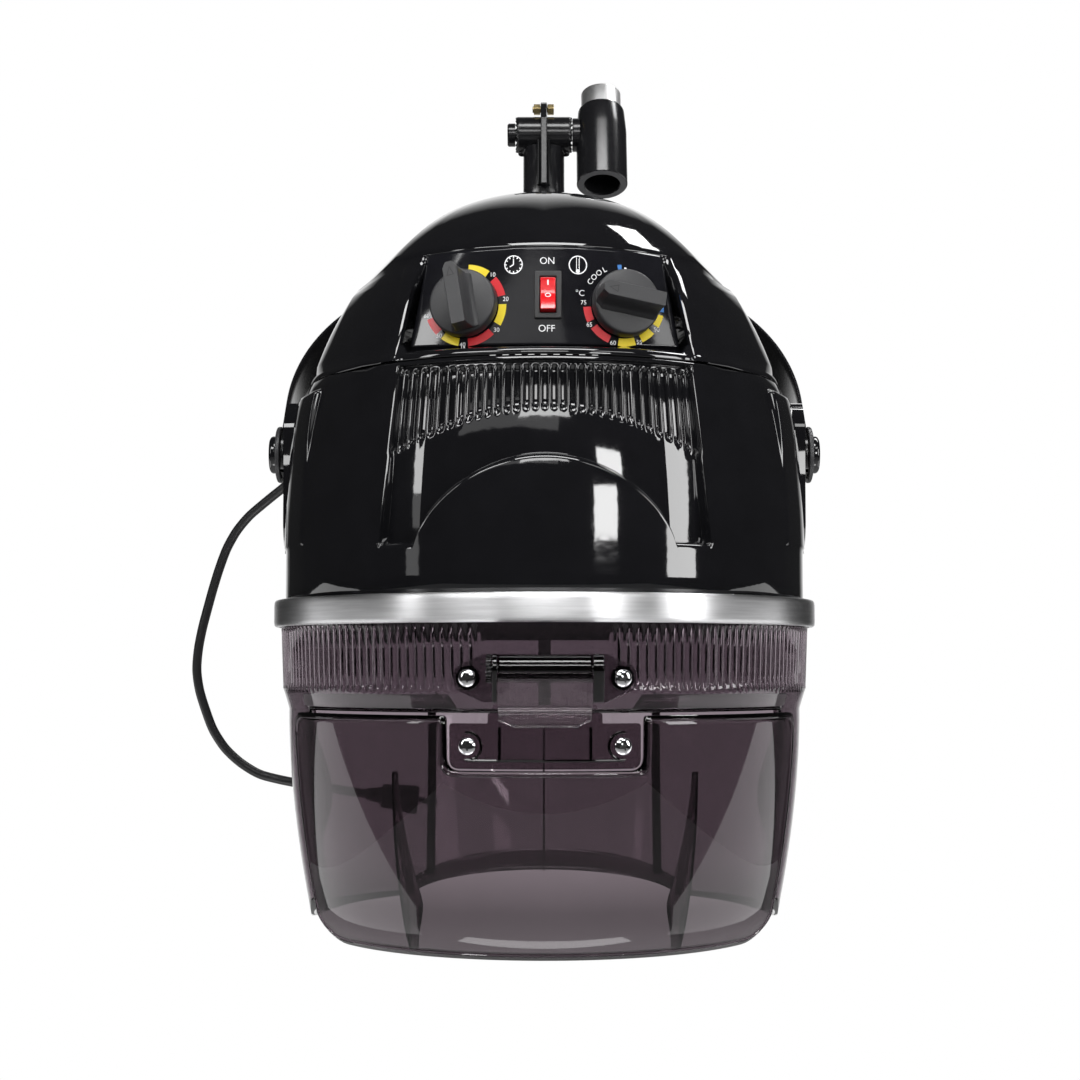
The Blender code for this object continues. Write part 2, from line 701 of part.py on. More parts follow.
def control_panel(shop):
    columns, rows = 13, 4
    margin = SEAT / (NICHE_SIDE_SHARE * NICHE_HALF_TOP)

    def outer(row, column):
        height = mix(NICHE_BOTTOM + SEAT, NICHE_TOP - SEAT, row / (rows - 1))
        return panel_point((2 * column / (columns - 1) - 1) * (1 - margin), height)

    def inner(row, column):
        return outer(row, column) + Vector((0, PANEL_THICKNESS, 0))

    wall = thick_grid(rows, columns, outer, inner, closed=False)
    panel = shop.piece("control_panel", wall, "panel_black", "hood")
    deep = 4 * PANEL_THICKNESS
    for side in (-1, 1):
        drill = rod(NECK_RADIUS + SEAT, -deep, deep)
        shop.cut(panel, drill, panel_frame(side * KNOB_SPREAD, KNOB_HEIGHT))
    half_x, half_y = SWITCH_WIDTH / 2 - SWITCH_LAP, SWITCH_LENGTH / 2 - SWITCH_LAP
    shop.cut(panel, block((-half_x, -half_y, -deep), (half_x, half_y, deep)), switch_frame())


def knob_and_control(shop, side, knob, shaft, body, rest):
    """A knob with a grip bar, its shaft, and the control that it turns behind the panel."""
    place = panel_frame(side * KNOB_SPREAD, KNOB_HEIGHT)
    turn = place @ Matrix.Rotation(math.radians(rest), 4, "Z")
    base = [
        (0, KNOB_LIFT),
        (KNOB_RADIUS, KNOB_LIFT),
        (KNOB_RADIUS, KNOB_LIFT + KNOB_SKIRT),
        (KNOB_RADIUS - KNOB_SKIRT / 2, KNOB_BASE),
        (0, KNOB_BASE),
    ]
    made = shop.piece(knob, turned(base, 20), "charcoal", knob, turn)
    half, tip = GRIP_WIDTH / 2, KNOB_RADIUS - GRIP_INSET
    tail = math.sqrt(tip**2 - half**2)
    bar = [(-half, -tail), (half, -tail), (half, tip - GRIP_POINT), (0, tip), (-half, tip - GRIP_POINT)]
    shop.join(made, extruded(bar, KNOB_BASE - MM, KNOB_LENGTH), turn)
    shaft_top = KNOB_LENGTH - KNOB_CAP
    shop.cut(made, rod(SHAFT_RADIUS + SEAT, -KNOB_LIFT, shaft_top), turn)
    reach = PANEL_THICKNESS + CONTROL_BODY_LENGTH / 2
    shop.piece(shaft, rod(SHAFT_RADIUS, -reach, shaft_top - SEAT), "inner_metal", knob, turn)
    back = -PANEL_THICKNESS - CONTROL_GAP
    run = SHAFT_RADIUS + SEAT
    can = turned(
        [
            (run, -SEAT),
            (run, -reach - SEAT),
            (0, -reach - SEAT),
            (0, back - CONTROL_BODY_LENGTH),
            (CONTROL_BODY_RADIUS, back - CONTROL_BODY_LENGTH),
            (CONTROL_BODY_RADIUS, back),
            (NECK_RADIUS, back),
            (NECK_RADIUS, -SEAT),
        ],
        12,
    )
    shop.piece(body, can, "inner_plastic", "hood", place)


def switch_frame():
    """The frame of the switch on the panel's face, with Z pointing out."""
    place = Vector((SWITCH_PLACE, panel_point(0, SWITCH_HEIGHT).y - SEAT, SWITCH_HEIGHT))
    return aimed((0, -1, 0), place)


def switch(shop):
    half_x, half_y = SWITCH_WIDTH / 2, SWITCH_LENGTH / 2
    out = switch_frame()
    flange = extruded(rounded(half_x, half_y, SWITCH_CORNER), 0, SWITCH_FLANGE)
    bezel = shop.piece("switch_bezel", flange, "switch_grey", "hood", out)
    x, y = half_x - SWITCH_LAP - SEAT, half_y - SWITCH_LAP - SEAT
    shop.join(bezel, block((-x, -y, -SWITCH_DEPTH), (x, y, MM)), out)
    x, y = half_x - SWITCH_FRAME, half_y - SWITCH_FRAME
    shop.cut(bezel, block((-x, -y, -SWITCH_POCKET), (x, y, 3 * SWITCH_FLANGE)), out)
    length, width = y - 3 * SEAT, x - SEAT
    end = length - 2 * SEAT
    outline = [(-end, -ROCKER_FOOT), (end, -ROCKER_FOOT), (length, 0), (end, ROCKER_CREST)]
    outline += [(0, ROCKER_DIP), (-end, ROCKER_CREST), (-length, 0)]
    tilt = Matrix.Rotation(math.radians(-ROCKER_TRAVEL / 2), 4, "X")
    stand = out @ Matrix.Translation((0, 0, SWITCH_FLANGE - ROCKER_SINK)) @ tilt @ SIDEWAYS
    shop.piece("rocker", extruded(outline, -width, width), "red_lens", "rocker", stand)


def trim_ring(shop):
    outside, inside = RING_HALF_WIDTH, RING_HALF_WIDTH - RING_WALL
    half = RING_HEIGHT / 2
    hood, collar = HOOD_HALF_WIDTH + 2 * RUNNING, COLLAR_HALF_WIDTH + 2 * RUNNING
    section = [
        (hood, half),
        (outside - RING_CHAMFER, half),
        (outside, half - RING_CHAMFER),
        (outside, RING_CHAMFER - half),
        (outside - RING_CHAMFER, -half),
        (collar, -half),
        (collar, RING_LIP - half),
        (inside, RING_LIP - half),
        (inside, half - RING_LIP),
        (hood, half - RING_LIP),
    ]
    shop.piece("trim_ring", oval_ring(section, RING_SIDES), "aluminium", "hood")


def visor_half_width(height):
    """Half the visor's width: straight down the collar, a step in to the waist, then a taper to the rim."""
    foot = COLLAR_HALF_WIDTH - COLLAR_TAPER
    if height >= COLLAR_FLUTE_FOOT:
        return mix(COLLAR_HALF_WIDTH, foot, height / COLLAR_FLUTE_FOOT)
    if height >= OPENING_TOP:
        share = (height - COLLAR_FLUTE_FOOT) / (OPENING_TOP - COLLAR_FLUTE_FOOT)
        return mix(foot, VISOR_WAIST_HALF_WIDTH, share)
    share = (height - OPENING_TOP) / (VISOR_RIM - OPENING_TOP)
    return mix(VISOR_WAIST_HALF_WIDTH, VISOR_RIM_HALF_WIDTH, share**1.8)


def visor(shop):
    columns, inner_step = 2 * COLLAR_FLUTES, 3
    open_columns = columns // 3 // inner_step * inner_step
    flute_top, flute_end = -RING_HEIGHT / 2 - RING_WALL, COLLAR_FLUTE_FOOT + RING_WALL
    heights = [VISOR_TOP, flute_top, flute_end, COLLAR_FLUTE_FOOT, OPENING_TOP]
    lower = (0.3, 0.68, 1)

    def turn_of(column):
        middle = (column + open_columns // 2) % columns
        wide = math.radians(2 * OPENING_ANGLE)
        if middle <= open_columns:
            return wide * (middle / open_columns - 0.5)
        return wide / 2 + (2 * math.pi - wide) * (middle - open_columns) / (columns - open_columns)

    def height_at(row, turn):
        if row < len(heights):
            return heights[row]
        off_back = abs(math.degrees(turn) - 180)
        neck = NECK_RISE * (0.5 + 0.5 * math.cos(math.pi * min(1.0, off_back / NECK_ANGLE)))
        from_flap = (180 - off_back - OPENING_ANGLE) / (FRONT_RISE_ANGLE - OPENING_ANGLE)
        front = FRONT_RISE * (0.5 + 0.5 * math.cos(math.pi * max(0.0, min(1.0, from_flap))))
        return mix(OPENING_TOP, VISOR_RIM + neck + front, lower[row - len(heights)])

    def outer(row, column):
        turn = turn_of(column)
        height = height_at(row, turn)
        flat = abs(math.degrees(turn)) < FLAT_ANGLE
        groove = COLLAR_FLUTE_DEPTH if row in (1, 2) and column % 2 and not flat else 0
        return plan_point(visor_half_width(height) - groove, turn, height)

    def inner(row, column):
        turn = turn_of(column)
        height = height_at(row, turn)
        return plan_point(visor_half_width(height) - VISOR_WALL, turn, height)

    def keep(row, cell):
        at = (cell * inner_step + inner_step / 2 + open_columns / 2) % columns
        return row < len(heights) - 1 or at > open_columns

    rows = len(heights) + len(lower)
    wall = thick_grid(rows, columns, outer, inner, keep, inner_step=inner_step)
    made = shop.piece("visor", wall, "smoke", "hood")
    for side in (-1, 1):
        shop.cut(made, screw_hole(), bracket_frame(side))


def flap_half_width(height):
    """Half the flap's width at its outer face, clear of the visor behind it."""
    clear = FLAP_CLEARANCE + FLAP_WALL
    above = max(height, FLAP_CREASE)
    tuck = max(0.0, (FLAP_CREASE - height) / (FLAP_CREASE - FLAP_BOTTOM))
    return visor_half_width(max(above, VISOR_RIM)) + clear - FLAP_TUCK * tuck**1.5


def flap(shop):
    columns, half_angle = 17, math.radians(FLAP_ANGLE)
    heights = [mix(FLAP_CREASE, FLAP_TOP, s) for s in (1, 0.72, 0.36, 0)]
    heights += [mix(FLAP_CREASE, FLAP_BOTTOM, s) for s in (0.5, 1)]
    fin_heights = [mix(FIN_TOP, FLAP_CREASE, s) for s in (0, 0.3, 0.65, 1)]
    fin_heights += [mix(FLAP_CREASE, FLAP_BOTTOM, s) for s in (0.5, 0.9)]

    def point(row, column, sink):
        turn = half_angle * (2 * column / (columns - 1) - 1)
        return plan_point(flap_half_width(heights[row]) - sink, turn, heights[row])

    def outer(row, column):
        return point(row, column, 0)

    def inner(row, column):
        return point(row, column, FLAP_WALL)

    made = shop.piece("flap", thick_grid(len(heights), columns, outer, inner, closed=False), "smoke", "flap")
    for side in (-1, 1):
        edge = []
        for height in fin_heights:
            edge.append((front_point(flap_half_width(height) - FLAP_WALL / 2, FIN_PLACE, height).y, height))
        foot = (edge[-1][0] + FIN_DEPTH, edge[-1][1])
        outline = edge + [foot, (edge[0][0] + FIN_THICKNESS, FIN_TOP)]
        x, half = side * FIN_PLACE, FIN_THICKNESS / 2
        shop.join(made, extruded(outline, x - half, x + half), SIDEWAYS)
        shop.cut(made, screw_hole(), flap_screw_frame(side))


def screw_hole():
    reach = 2 * (PLATE_THICKNESS + VISOR_WALL)
    return rod(SCREW_RADIUS + SEAT, -reach, reach, 12)


def screw_frame(half_width, side, height):
    """The frame of a hinge screw: its Z points out of the plate's face."""
    place = front_point(half_width, side * HINGE_SCREW_PLACE, height)
    return aimed(outward(math.asin(side * HINGE_SCREW_PLACE / half_width)), place)


def bracket_frame(side):
    return screw_frame(COLLAR_HALF_WIDTH + RUNNING + PLATE_THICKNESS, side, BRACKET_HEIGHT)


def flap_screw_frame(side):
    half_width = flap_half_width(FLAP_SCREW_HEIGHT) + RUNNING + PLATE_THICKNESS
    return screw_frame(half_width, side, FLAP_SCREW_HEIGHT)


def hinge_screw(shop, name, frame, body):
    length = 2 * PLATE_THICKNESS + VISOR_WALL
    top = SCREW_LIFT + SCREW_HEAD_HEIGHT
    profile = [
        (0, -length),
        (SCREW_RADIUS, -length),
        (SCREW_RADIUS, SCREW_LIFT),
        (SCREW_HEAD_RADIUS, SCREW_LIFT),
        (SCREW_HEAD_RADIUS, top - SCREW_HEAD_HEIGHT / 2),
        (SCREW_HEAD_RADIUS * 0.7, top),
        (0, top),
    ]
    shop.piece(name, turned(profile, 12), "chrome", body, frame)


def curved_plate(half_at, half_width, ends_at, columns=9):
    """A plate that follows a curved wall.

    half_at gives the wall's half width at a height, and ends_at the plate's lower and upper end at a distance
    from the middle.
    """

    def point(row, column, lift):
        x = half_width * (2 * column / (columns - 1) - 1)
        height = ends_at(x)[row]
        return front_point(half_at(height) + RUNNING + lift, x, height)

    def outer(row, column):
        return point(row, column, PLATE_THICKNESS)

    def inner(row, column):
        return point(row, column, 0)

    return thick_grid(2, columns, outer, inner, closed=False)


def bracket_ends(x):
    """The bracket's ends: upright in the middle, narrowing to an ear round each screw."""
    share = (abs(x) - 0.75 * BRACKET_HALF_WIDTH) / (0.25 * BRACKET_HALF_WIDTH)
    half = mix(BRACKET_HALF_HEIGHT, EAR_HALF_HEIGHT, max(0.0, min(1.0, share)))
    return BRACKET_HEIGHT - half, BRACKET_HEIGHT + half


def collar_half_width(height):
    return COLLAR_HALF_WIDTH


def plate_ends(x):
    return PLATE_BOTTOM, PLATE_TOP


def flap_hinge(shop):
    axis = aimed((1, 0, 0), HINGE_LINE)
    ears = curved_plate(collar_half_width, BRACKET_HALF_WIDTH, bracket_ends)
    bracket = shop.piece("hinge_bracket", ears, "smoke", "hood")
    wall_y = front_point(COLLAR_HALF_WIDTH + RUNNING + PLATE_THICKNESS / 2, BARREL_HALF_LENGTH, 0).y
    near = MIDDLE_HALF_LENGTH + RUNNING
    detent = BARREL_HALF_LENGTH - DETENT_WIDTH
    top, foot = HINGE_HEIGHT + 0.98 * BARREL_RADIUS, BRACKET_HEIGHT - BRACKET_HALF_HEIGHT
    for side, ends in ((-1, (SEAT - detent, -near)), (1, (near, BARREL_HALF_LENGTH))):
        arm = [
            (wall_y, foot),
            (HINGE_LINE.y, foot),
            (HINGE_LINE.y - BARREL_RADIUS / 2, HINGE_HEIGHT - BARREL_RADIUS / 2),
            (HINGE_LINE.y, top),
            (wall_y, top),
        ]
        shop.join(bracket, extruded(arm, *ends), SIDEWAYS)
        shop.join(bracket, rod(BARREL_RADIUS, *ends), axis)
        shop.cut(bracket, screw_hole(), bracket_frame(side))
    through = 2 * BARREL_HALF_LENGTH
    shop.cut(bracket, rod(HINGE_PIN_RADIUS + SEAT, -through, through), axis)

    leaf = curved_plate(flap_half_width, PLATE_HALF_WIDTH, plate_ends)
    plate = shop.piece("flap_hinge_plate", leaf, "smoke", "flap")
    face = front_point(flap_half_width(PLATE_TOP) + RUNNING, 0, 0).y - SEAT
    middle = BARREL_RADIUS - RUNNING
    front, back = HINGE_LINE.y - 0.97 * middle, HINGE_LINE.y - 0.97 * middle + PLATE_THICKNESS
    bend = PLATE_TOP + 3 * PLATE_THICKNESS
    tongue = [
        (face, PLATE_TOP - 2 * PLATE_THICKNESS),
        (face - PLATE_THICKNESS, PLATE_TOP - 2 * PLATE_THICKNESS),
        (front, bend - PLATE_THICKNESS),
        (front, HINGE_HEIGHT),
        (back, HINGE_HEIGHT),
        (back, bend),
        (face, PLATE_TOP - PLATE_THICKNESS / 2),
    ]
    shop.join(plate, extruded(tongue, -MIDDLE_HALF_LENGTH, MIDDLE_HALF_LENGTH), SIDEWAYS)
    shop.join(plate, rod(middle, -MIDDLE_HALF_LENGTH, MIDDLE_HALF_LENGTH), axis)
    shop.cut(plate, rod(HINGE_PIN_RADIUS + RUNNING, -through, through), axis)

    pin = rod(HINGE_PIN_RADIUS, -BARREL_HALF_LENGTH, BARREL_HALF_LENGTH)
    shop.piece("hinge_pin", pin, "chrome", "hood", axis)
    bore = HINGE_PIN_RADIUS + SEAT

    def spot(row, column, radius):
        turn = math.pi * column / DETENT_TEETH
        at = row * DETENT_WIDTH - BARREL_HALF_LENGTH
        return Vector((radius * math.cos(turn), radius * math.sin(turn), at))

    def tooth(row, column):
        return spot(row, column, BARREL_RADIUS if column % 2 else BARREL_RADIUS - TOOTH_HEIGHT)

    def hub(row, column):
        return spot(row, column, bore)

    shop.piece("detent_ring", thick_grid(2, 2 * DETENT_TEETH, tooth, hub), "smoke", "hood", axis)
    for side, word in ((-1, "left"), (1, "right")):
        hinge_screw(shop, f"bracket_screw_{word}", bracket_frame(side), "hood")
        hinge_screw(shop, f"flap_screw_{word}", flap_screw_frame(side), "flap")
        shop.cut(plate, screw_hole(), flap_screw_frame(side))


def pivot(shop, side, word):
    """The pad, stud, disc and cap of one side pivot."""
    rows = 9

    def point(row, column, outer):
        height = mix(PAD_BOTTOM, PAD_TOP, row / (rows - 1))
        end = min(height - PAD_BOTTOM, PAD_TOP - height)
        short = max(0.0, PAD_HALF_WIDTH - end)
        half = max(PAD_HALF_WIDTH * 0.35, math.sqrt(PAD_HALF_WIDTH**2 - short**2))
        y = half * (column / 2 - 1)
        half_width = HOOD_HALF_WIDTH * dome_share(height)
        depth = half_width * (FRONT_DEPTH if y < 0 else REAR_DEPTH) / HOOD_HALF_WIDTH
        wall = half_width * math.sqrt(1 - (y / depth) ** 2) + SEAT
        return Vector((side * (PAD_FACE if outer else wall), y, height))

    def face(row, column):
        return point(row, column, True)

    def root(row, column):
        return point(row, column, False)

    pad = thick_grid(rows, 5, face, root, closed=False)
    plate = shop.piece(f"pivot_pad_{word}", pad, "gloss_black", "hood")
    axis = aimed((side, 0, 0), PIVOT)
    hole = STUD_RADIUS + SEAT
    half_width = HOOD_HALF_WIDTH * dome_share(PIVOT_HEIGHT)
    shop.cut(plate, rod(hole, half_width / 2, 2 * PAD_FACE), axis)
    nut = half_width - 2 * HOUSING_WALL - FLUTE_DEPTH / 2
    disc = PAD_FACE + STRAP_THICKNESS + 2 * SEAT
    cap = disc + DISC_THICKNESS + SEAT
    end = cap + CAP_THICKNESS / 2
    stud = [
        (0, nut - STUD_NUT_LENGTH),
        (STUD_NUT_RADIUS, nut - STUD_NUT_LENGTH),
        (STUD_NUT_RADIUS, nut),
        (STUD_RADIUS, nut),
        (STUD_RADIUS, end),
        (0, end),
    ]
    shop.piece(f"pivot_stud_{word}", turned(stud, 16), "inner_metal", "hood", axis)
    washer = [
        (hole, disc),
        (DISC_RADIUS, disc),
        (DISC_RADIUS, disc + DISC_THICKNESS - MM),
        (DISC_RADIUS - MM, disc + DISC_THICKNESS),
        (hole, disc + DISC_THICKNESS),
    ]
    shop.piece(f"pivot_disc_{word}", turned(washer, 20), "charcoal", "hood", axis)
    top = cap + CAP_THICKNESS
    button = [
        (0, cap),
        (CAP_RADIUS, cap),
        (CAP_RADIUS, top - CAP_CHAMFER),
        (CAP_RADIUS - CAP_CHAMFER, top),
        (0, top),
    ]
    made = shop.piece(f"pivot_cap_{word}", turned(button, 20), "gloss_black", "hood", axis)
    shop.cut(made, rod(hole, cap - MM, end + SEAT), axis)


def yoke_band(shop):
    reach_x = PAD_FACE + SEAT + STRAP_THICKNESS / 2
    half = STRAP_WIDTH / 2
    wide = Vector((0, YOKE_LINE.z, -YOKE_LINE.y))
    ends = ((-half, 0.35), (-half * 0.75, 0.72), (-half * 0.3, 0.98), (YOKE_LEG * 0.6, 1))
    arch = 30

    def station(row):
        """A place on the arch as distance from the middle, reach from the pivots, and share of the width."""
        if row < len(ends):
            return (-reach_x, *ends[row])
        if row > arch + len(ends):
            return (reach_x, *ends[arch + 2 * len(ends) - row])
        turn = math.pi * (row - len(ends)) / arch
        power = 2 / YOKE_POWER
        x = -reach_x * math.copysign(abs(math.cos(turn)) ** power, math.cos(turn))
        return (x, mix(YOKE_LEG, YOKE_REACH, math.sin(turn) ** power), 1)

    rows = arch + 2 * len(ends) + 1

    def point(row, column, lift):
        x, reach, share = station(row)
        before, after = station(max(0, row - 1)), station(min(rows - 1, row + 1))
        along = Vector((after[0] - before[0], after[1] - before[1])).normalized()
        x -= along.y * lift
        reach += along.x * lift
        return Vector((x, 0, PIVOT_HEIGHT)) + YOKE_LINE * reach + wide * half * share * (2 * column - 1)

    def outer(row, column):
        return point(row, column, STRAP_THICKNESS / 2)

    def inner(row, column):
        return point(row, column, -STRAP_THICKNESS / 2)

    made = shop.piece("yoke_band", thick_grid(rows, 2, outer, inner, closed=False), "steel_black", "post")
    for side in (-1, 1):
        drill = rod(STUD_RADIUS + RUNNING, PAD_FACE / 2, 2 * PAD_FACE)
        shop.cut(made, drill, aimed((side, 0, 0), PIVOT))


def post_and_knuckle(shop):
    foot = CROWN.z - 2 * POST_RADIUS
    head = KNUCKLE.z - KNUCKLE_RADIUS / 2
    bore = POST_RADIUS - POST_WALL
    tube = turned([(bore, head), (bore, foot), (POST_RADIUS, foot), (POST_RADIUS, head)], 20)
    post = shop.piece("post_tube", tube, "steel_black", "post", Matrix.Translation((0, CROWN.y, 0)))
    lift = STRAP_THICKNESS / 2 + SEAT
    deep = 4 * POST_RADIUS
    saddle = block((-deep, -deep, -deep), (deep, deep, lift))
    shop.cut(post, saddle, aimed(YOKE_LINE, CROWN))
    across = aimed((1, 0, 0), KNUCKLE)
    mouth = KNUCKLE_RADIUS + SEAT
    shop.cut(post, rod(mouth, -deep, deep, 24), across)

    columns = 2 * KNUCKLE_TEETH
    stations = (-KNUCKLE_HALF_LENGTH, 2 * TOOTH_HEIGHT - KNUCKLE_HALF_LENGTH)
    stations += (KNUCKLE_HALF_LENGTH - 2 * TOOTH_HEIGHT, KNUCKLE_HALF_LENGTH)
    run = KNUCKLE_BOLT_RADIUS + RUNNING

    def rim(radius):
        def point(row, column):
            turn = 2 * math.pi * column / columns
            tooth = TOOTH_HEIGHT if column % 2 else 0
            at = stations[row] + (tooth if row == 0 else -tooth if row == 3 else 0)
            return Vector((radius * math.cos(turn), radius * math.sin(turn), at))

        return point

    teeth = thick_grid(4, columns, rim(KNUCKLE_RADIUS), rim(run))
    shop.piece("knuckle_tube", teeth, "steel_black", "post", across)

    reach = KNUCKLE_RADIUS + SEAT
    front = -POST_RADIUS - GUSSET_DEPTH
    top = KNUCKLE_RADIUS + GUSSET_EAR
    outline = [(front, -GUSSET_FOOT), (front, reach / 2), (-reach, top * 0.85)]
    outline += [(-reach / 2, top), (reach / 2, top)]
    for i in range(11):
        turn = math.radians(mix(62, 180, i / 10))
        outline.append((reach * math.cos(turn), reach * math.sin(turn)))
    outline += [(-POST_RADIUS - SEAT, -KNUCKLE_RADIUS / 2), (-POST_RADIUS - SEAT, -GUSSET_FOOT)]
    half = GUSSET_THICKNESS / 2
    here = Matrix.Translation(KNUCKLE) @ SIDEWAYS
    gusset = shop.piece("gusset_plate", extruded(outline, -half, half), "steel_black", "post", here)
    ear = KNUCKLE + Vector((0, -reach / 6, KNUCKLE_RADIUS + GUSSET_EAR * 0.56))
    bolt_line = aimed((1, 0, 0), ear)
    hole = GUSSET_BOLT_RADIUS + SEAT
    shop.cut(gusset, rod(hole, -deep, deep, 12), bolt_line)
    near = half + SEAT
    far = near + GUSSET_NUT_LENGTH
    bolt = [(0, -far - MM), (GUSSET_BOLT_RADIUS, -far - MM), (GUSSET_BOLT_RADIUS, near)]
    bolt += [(GUSSET_NUT_RADIUS, near), (GUSSET_NUT_RADIUS, far), (0, far)]
    shop.piece("gusset_bolt", turned(bolt, 6), "zinc_yellow", "post", bolt_line)
    nut = [(hole, -far), (GUSSET_NUT_RADIUS, -far), (GUSSET_NUT_RADIUS, -near), (hole, -near)]
    shop.piece("gusset_nut", turned(nut, 6), "zinc_yellow", "post", bolt_line)

    face = -KNUCKLE_HALF_LENGTH - SEAT
    head, tip = face - BOLT_HEAD_HEIGHT, SOCKET_PLACE - SOCKET_BORE - BOLT_STOP
    screw = [(0, head), (BOLT_HEAD_RADIUS, head), (BOLT_HEAD_RADIUS, face)]
    screw += [(KNUCKLE_BOLT_RADIUS, face), (KNUCKLE_BOLT_RADIUS, tip), (0, tip)]
    shop.piece("knuckle_bolt", turned(screw, 12), "steel_black", "socket", across)


def arm_socket(shop):
    stand = aimed(SOCKET_UP, MOUTH)
    step = SOCKET_LENGTH - BUSH_DEPTH
    seat = BUSH_RADIUS + SEAT
    profile = [
        (SOCKET_BORE, 0),
        (SOCKET_RADIUS, 0),
        (SOCKET_RADIUS, SOCKET_LENGTH * 0.7),
        (SOCKET_TOP_RADIUS, SOCKET_LENGTH),
        (seat, SOCKET_LENGTH),
        (seat, step),
        (SOCKET_BORE, step),
    ]
    sleeve = shop.piece("socket_sleeve", turned(profile, 20), "steel_black", "socket", stand)
    across = aimed((1, 0, 0), KNUCKLE)
    near = KNUCKLE_HALF_LENGTH + SEAT
    boss = KNUCKLE_RADIUS - MM
    end = SOCKET_PLACE - SOCKET_BORE - BOLT_STOP + SEAT
    shop.join(sleeve, rod(boss, near, end - 5 * SEAT, 20), across)
    shop.cut(sleeve, rod(KNUCKLE_BOLT_RADIUS + SEAT, 0, end), across)
    bush = [
        (SOCKET_BORE, step + SEAT),
        (BUSH_RADIUS, step + SEAT),
        (BUSH_RADIUS, SOCKET_LENGTH + BUSH_RISE),
        (SOCKET_BORE, SOCKET_LENGTH + BUSH_RISE),
    ]
    shop.piece("socket_bush", turned(bush, 20), "chrome", "socket", stand)


def bowl_height(half_width):
    """The height of the diffuser's upper face at a distance from the axis."""
    share = (half_width - BOWL_FLAT) / (BOWL_EDGE - BOWL_FLAT)
    return mix(BOWL_RISE, VISOR_TOP + SEAT + BOWL_RIM, max(0.0, min(1.0, share)) ** BOWL_POWER)


def diffuser(shop):
    columns = RING_SIDES // 2
    clamp = RING_HALF_WIDTH - RING_WALL - RUNNING
    wall = BOWL_EDGE
    halves = [clamp, wall] + [mix(wall, BOWL_FLAT, s) for s in (0.2, 0.36, 0.56, 0.72, 1)]

    def outer(row, column):
        return plan_point(halves[row], 2 * math.pi * column / columns, bowl_height(halves[row]))

    def inner(row, column):
        return outer(row, column) - Vector((0, 0, BOWL_RIM if row < 2 else BOWL_WALL))

    def keep(row, cell):
        return not (row in (2, 4) and cell % 2 == 0)

    top = Vector((0, 0, BOWL_RISE))
    tips = (top, top - Vector((0, 0, BOWL_WALL)))
    bowl = thick_grid(len(halves), columns, outer, inner, keep, tips=tips)
    made = shop.piece("diffuser_bowl", bowl, "steel_black", "hood")
    top = VISOR_TOP + SEAT + BOWL_RIM / 2
    inside = SKIRT_HALF_WIDTH - BOWL_WALL
    skirt = [(inside, top), (SKIRT_HALF_WIDTH, top), (SKIRT_HALF_WIDTH, -SKIRT_DROP), (inside, -SKIRT_DROP)]
    shop.join(made, oval_ring(skirt, columns))


def blower(shop):
    base = BOWL_RISE + SEAT
    shelf = base + PEDESTAL_HEIGHT
    wall = PEDESTAL_WALL
    foot = PEDESTAL_RADIUS + PEDESTAL_FLANGE
    pedestal = [
        (PEDESTAL_RADIUS - wall, base),
        (foot, base),
        (foot, base + wall),
        (PEDESTAL_RADIUS, base + wall),
        (PEDESTAL_RADIUS, shelf),
        (PEDESTAL_RADIUS / 2, shelf),
        (PEDESTAL_RADIUS / 2, shelf - wall),
        (PEDESTAL_RADIUS - wall, shelf - wall),
    ]
    shop.piece("motor_bracket", turned(pedestal, 12), "inner_metal", "hood")
    bottom = shelf + SEAT
    head = bottom + MOTOR_LENGTH
    run = MOTOR_SHAFT_RADIUS + SEAT
    sink = MOTOR_LENGTH / 2
    motor = [
        (0, bottom),
        (MOTOR_RADIUS, bottom),
        (MOTOR_RADIUS, head - MOTOR_SHOULDER),
        (MOTOR_RADIUS * 0.6, head),
        (run, head),
        (run, head - sink),
        (0, head - sink),
    ]
    shop.piece("fan_motor", turned(motor, 12), "inner_metal", "hood")
    disc = head + WHEEL_LIFT
    shaft_top = disc + WHEEL_HEIGHT * 0.6
    shaft = rod(MOTOR_SHAFT_RADIUS, head - sink + SEAT, shaft_top, 10)
    shop.piece("motor_shaft", shaft, "inner_metal", "fan")
    hub = MOTOR_SHAFT_RADIUS * 2.4
    wheel_profile = [
        (run, disc),
        (WHEEL_RADIUS, disc),
        (WHEEL_RADIUS, disc + WHEEL_PLATE),
        (hub, disc + WHEEL_PLATE),
        (hub, shaft_top + WHEEL_PLATE),
        (run, shaft_top + WHEEL_PLATE),
    ]
    wheel = shop.piece("fan_wheel", turned(wheel_profile, 18), "inner_plastic", "fan")
    blades = []
    half, middle = WHEEL_PLATE / 2, WHEEL_RADIUS * 0.8
    chord = WHEEL_RADIUS * 0.175
    for i in range(WHEEL_BLADES):
        blade = block((-chord, -half, disc + half), (chord, half, disc + WHEEL_HEIGHT))
        blade.transform(
            Matrix.Rotation(2 * math.pi * i / WHEEL_BLADES, 4, "Z")
            @ Matrix.Translation((middle, 0, 0))
            @ Matrix.Rotation(math.radians(BLADE_LEAN), 4, "Z")
        )
        blades.append(blade)
    shop.join(wheel, gathered(blades))


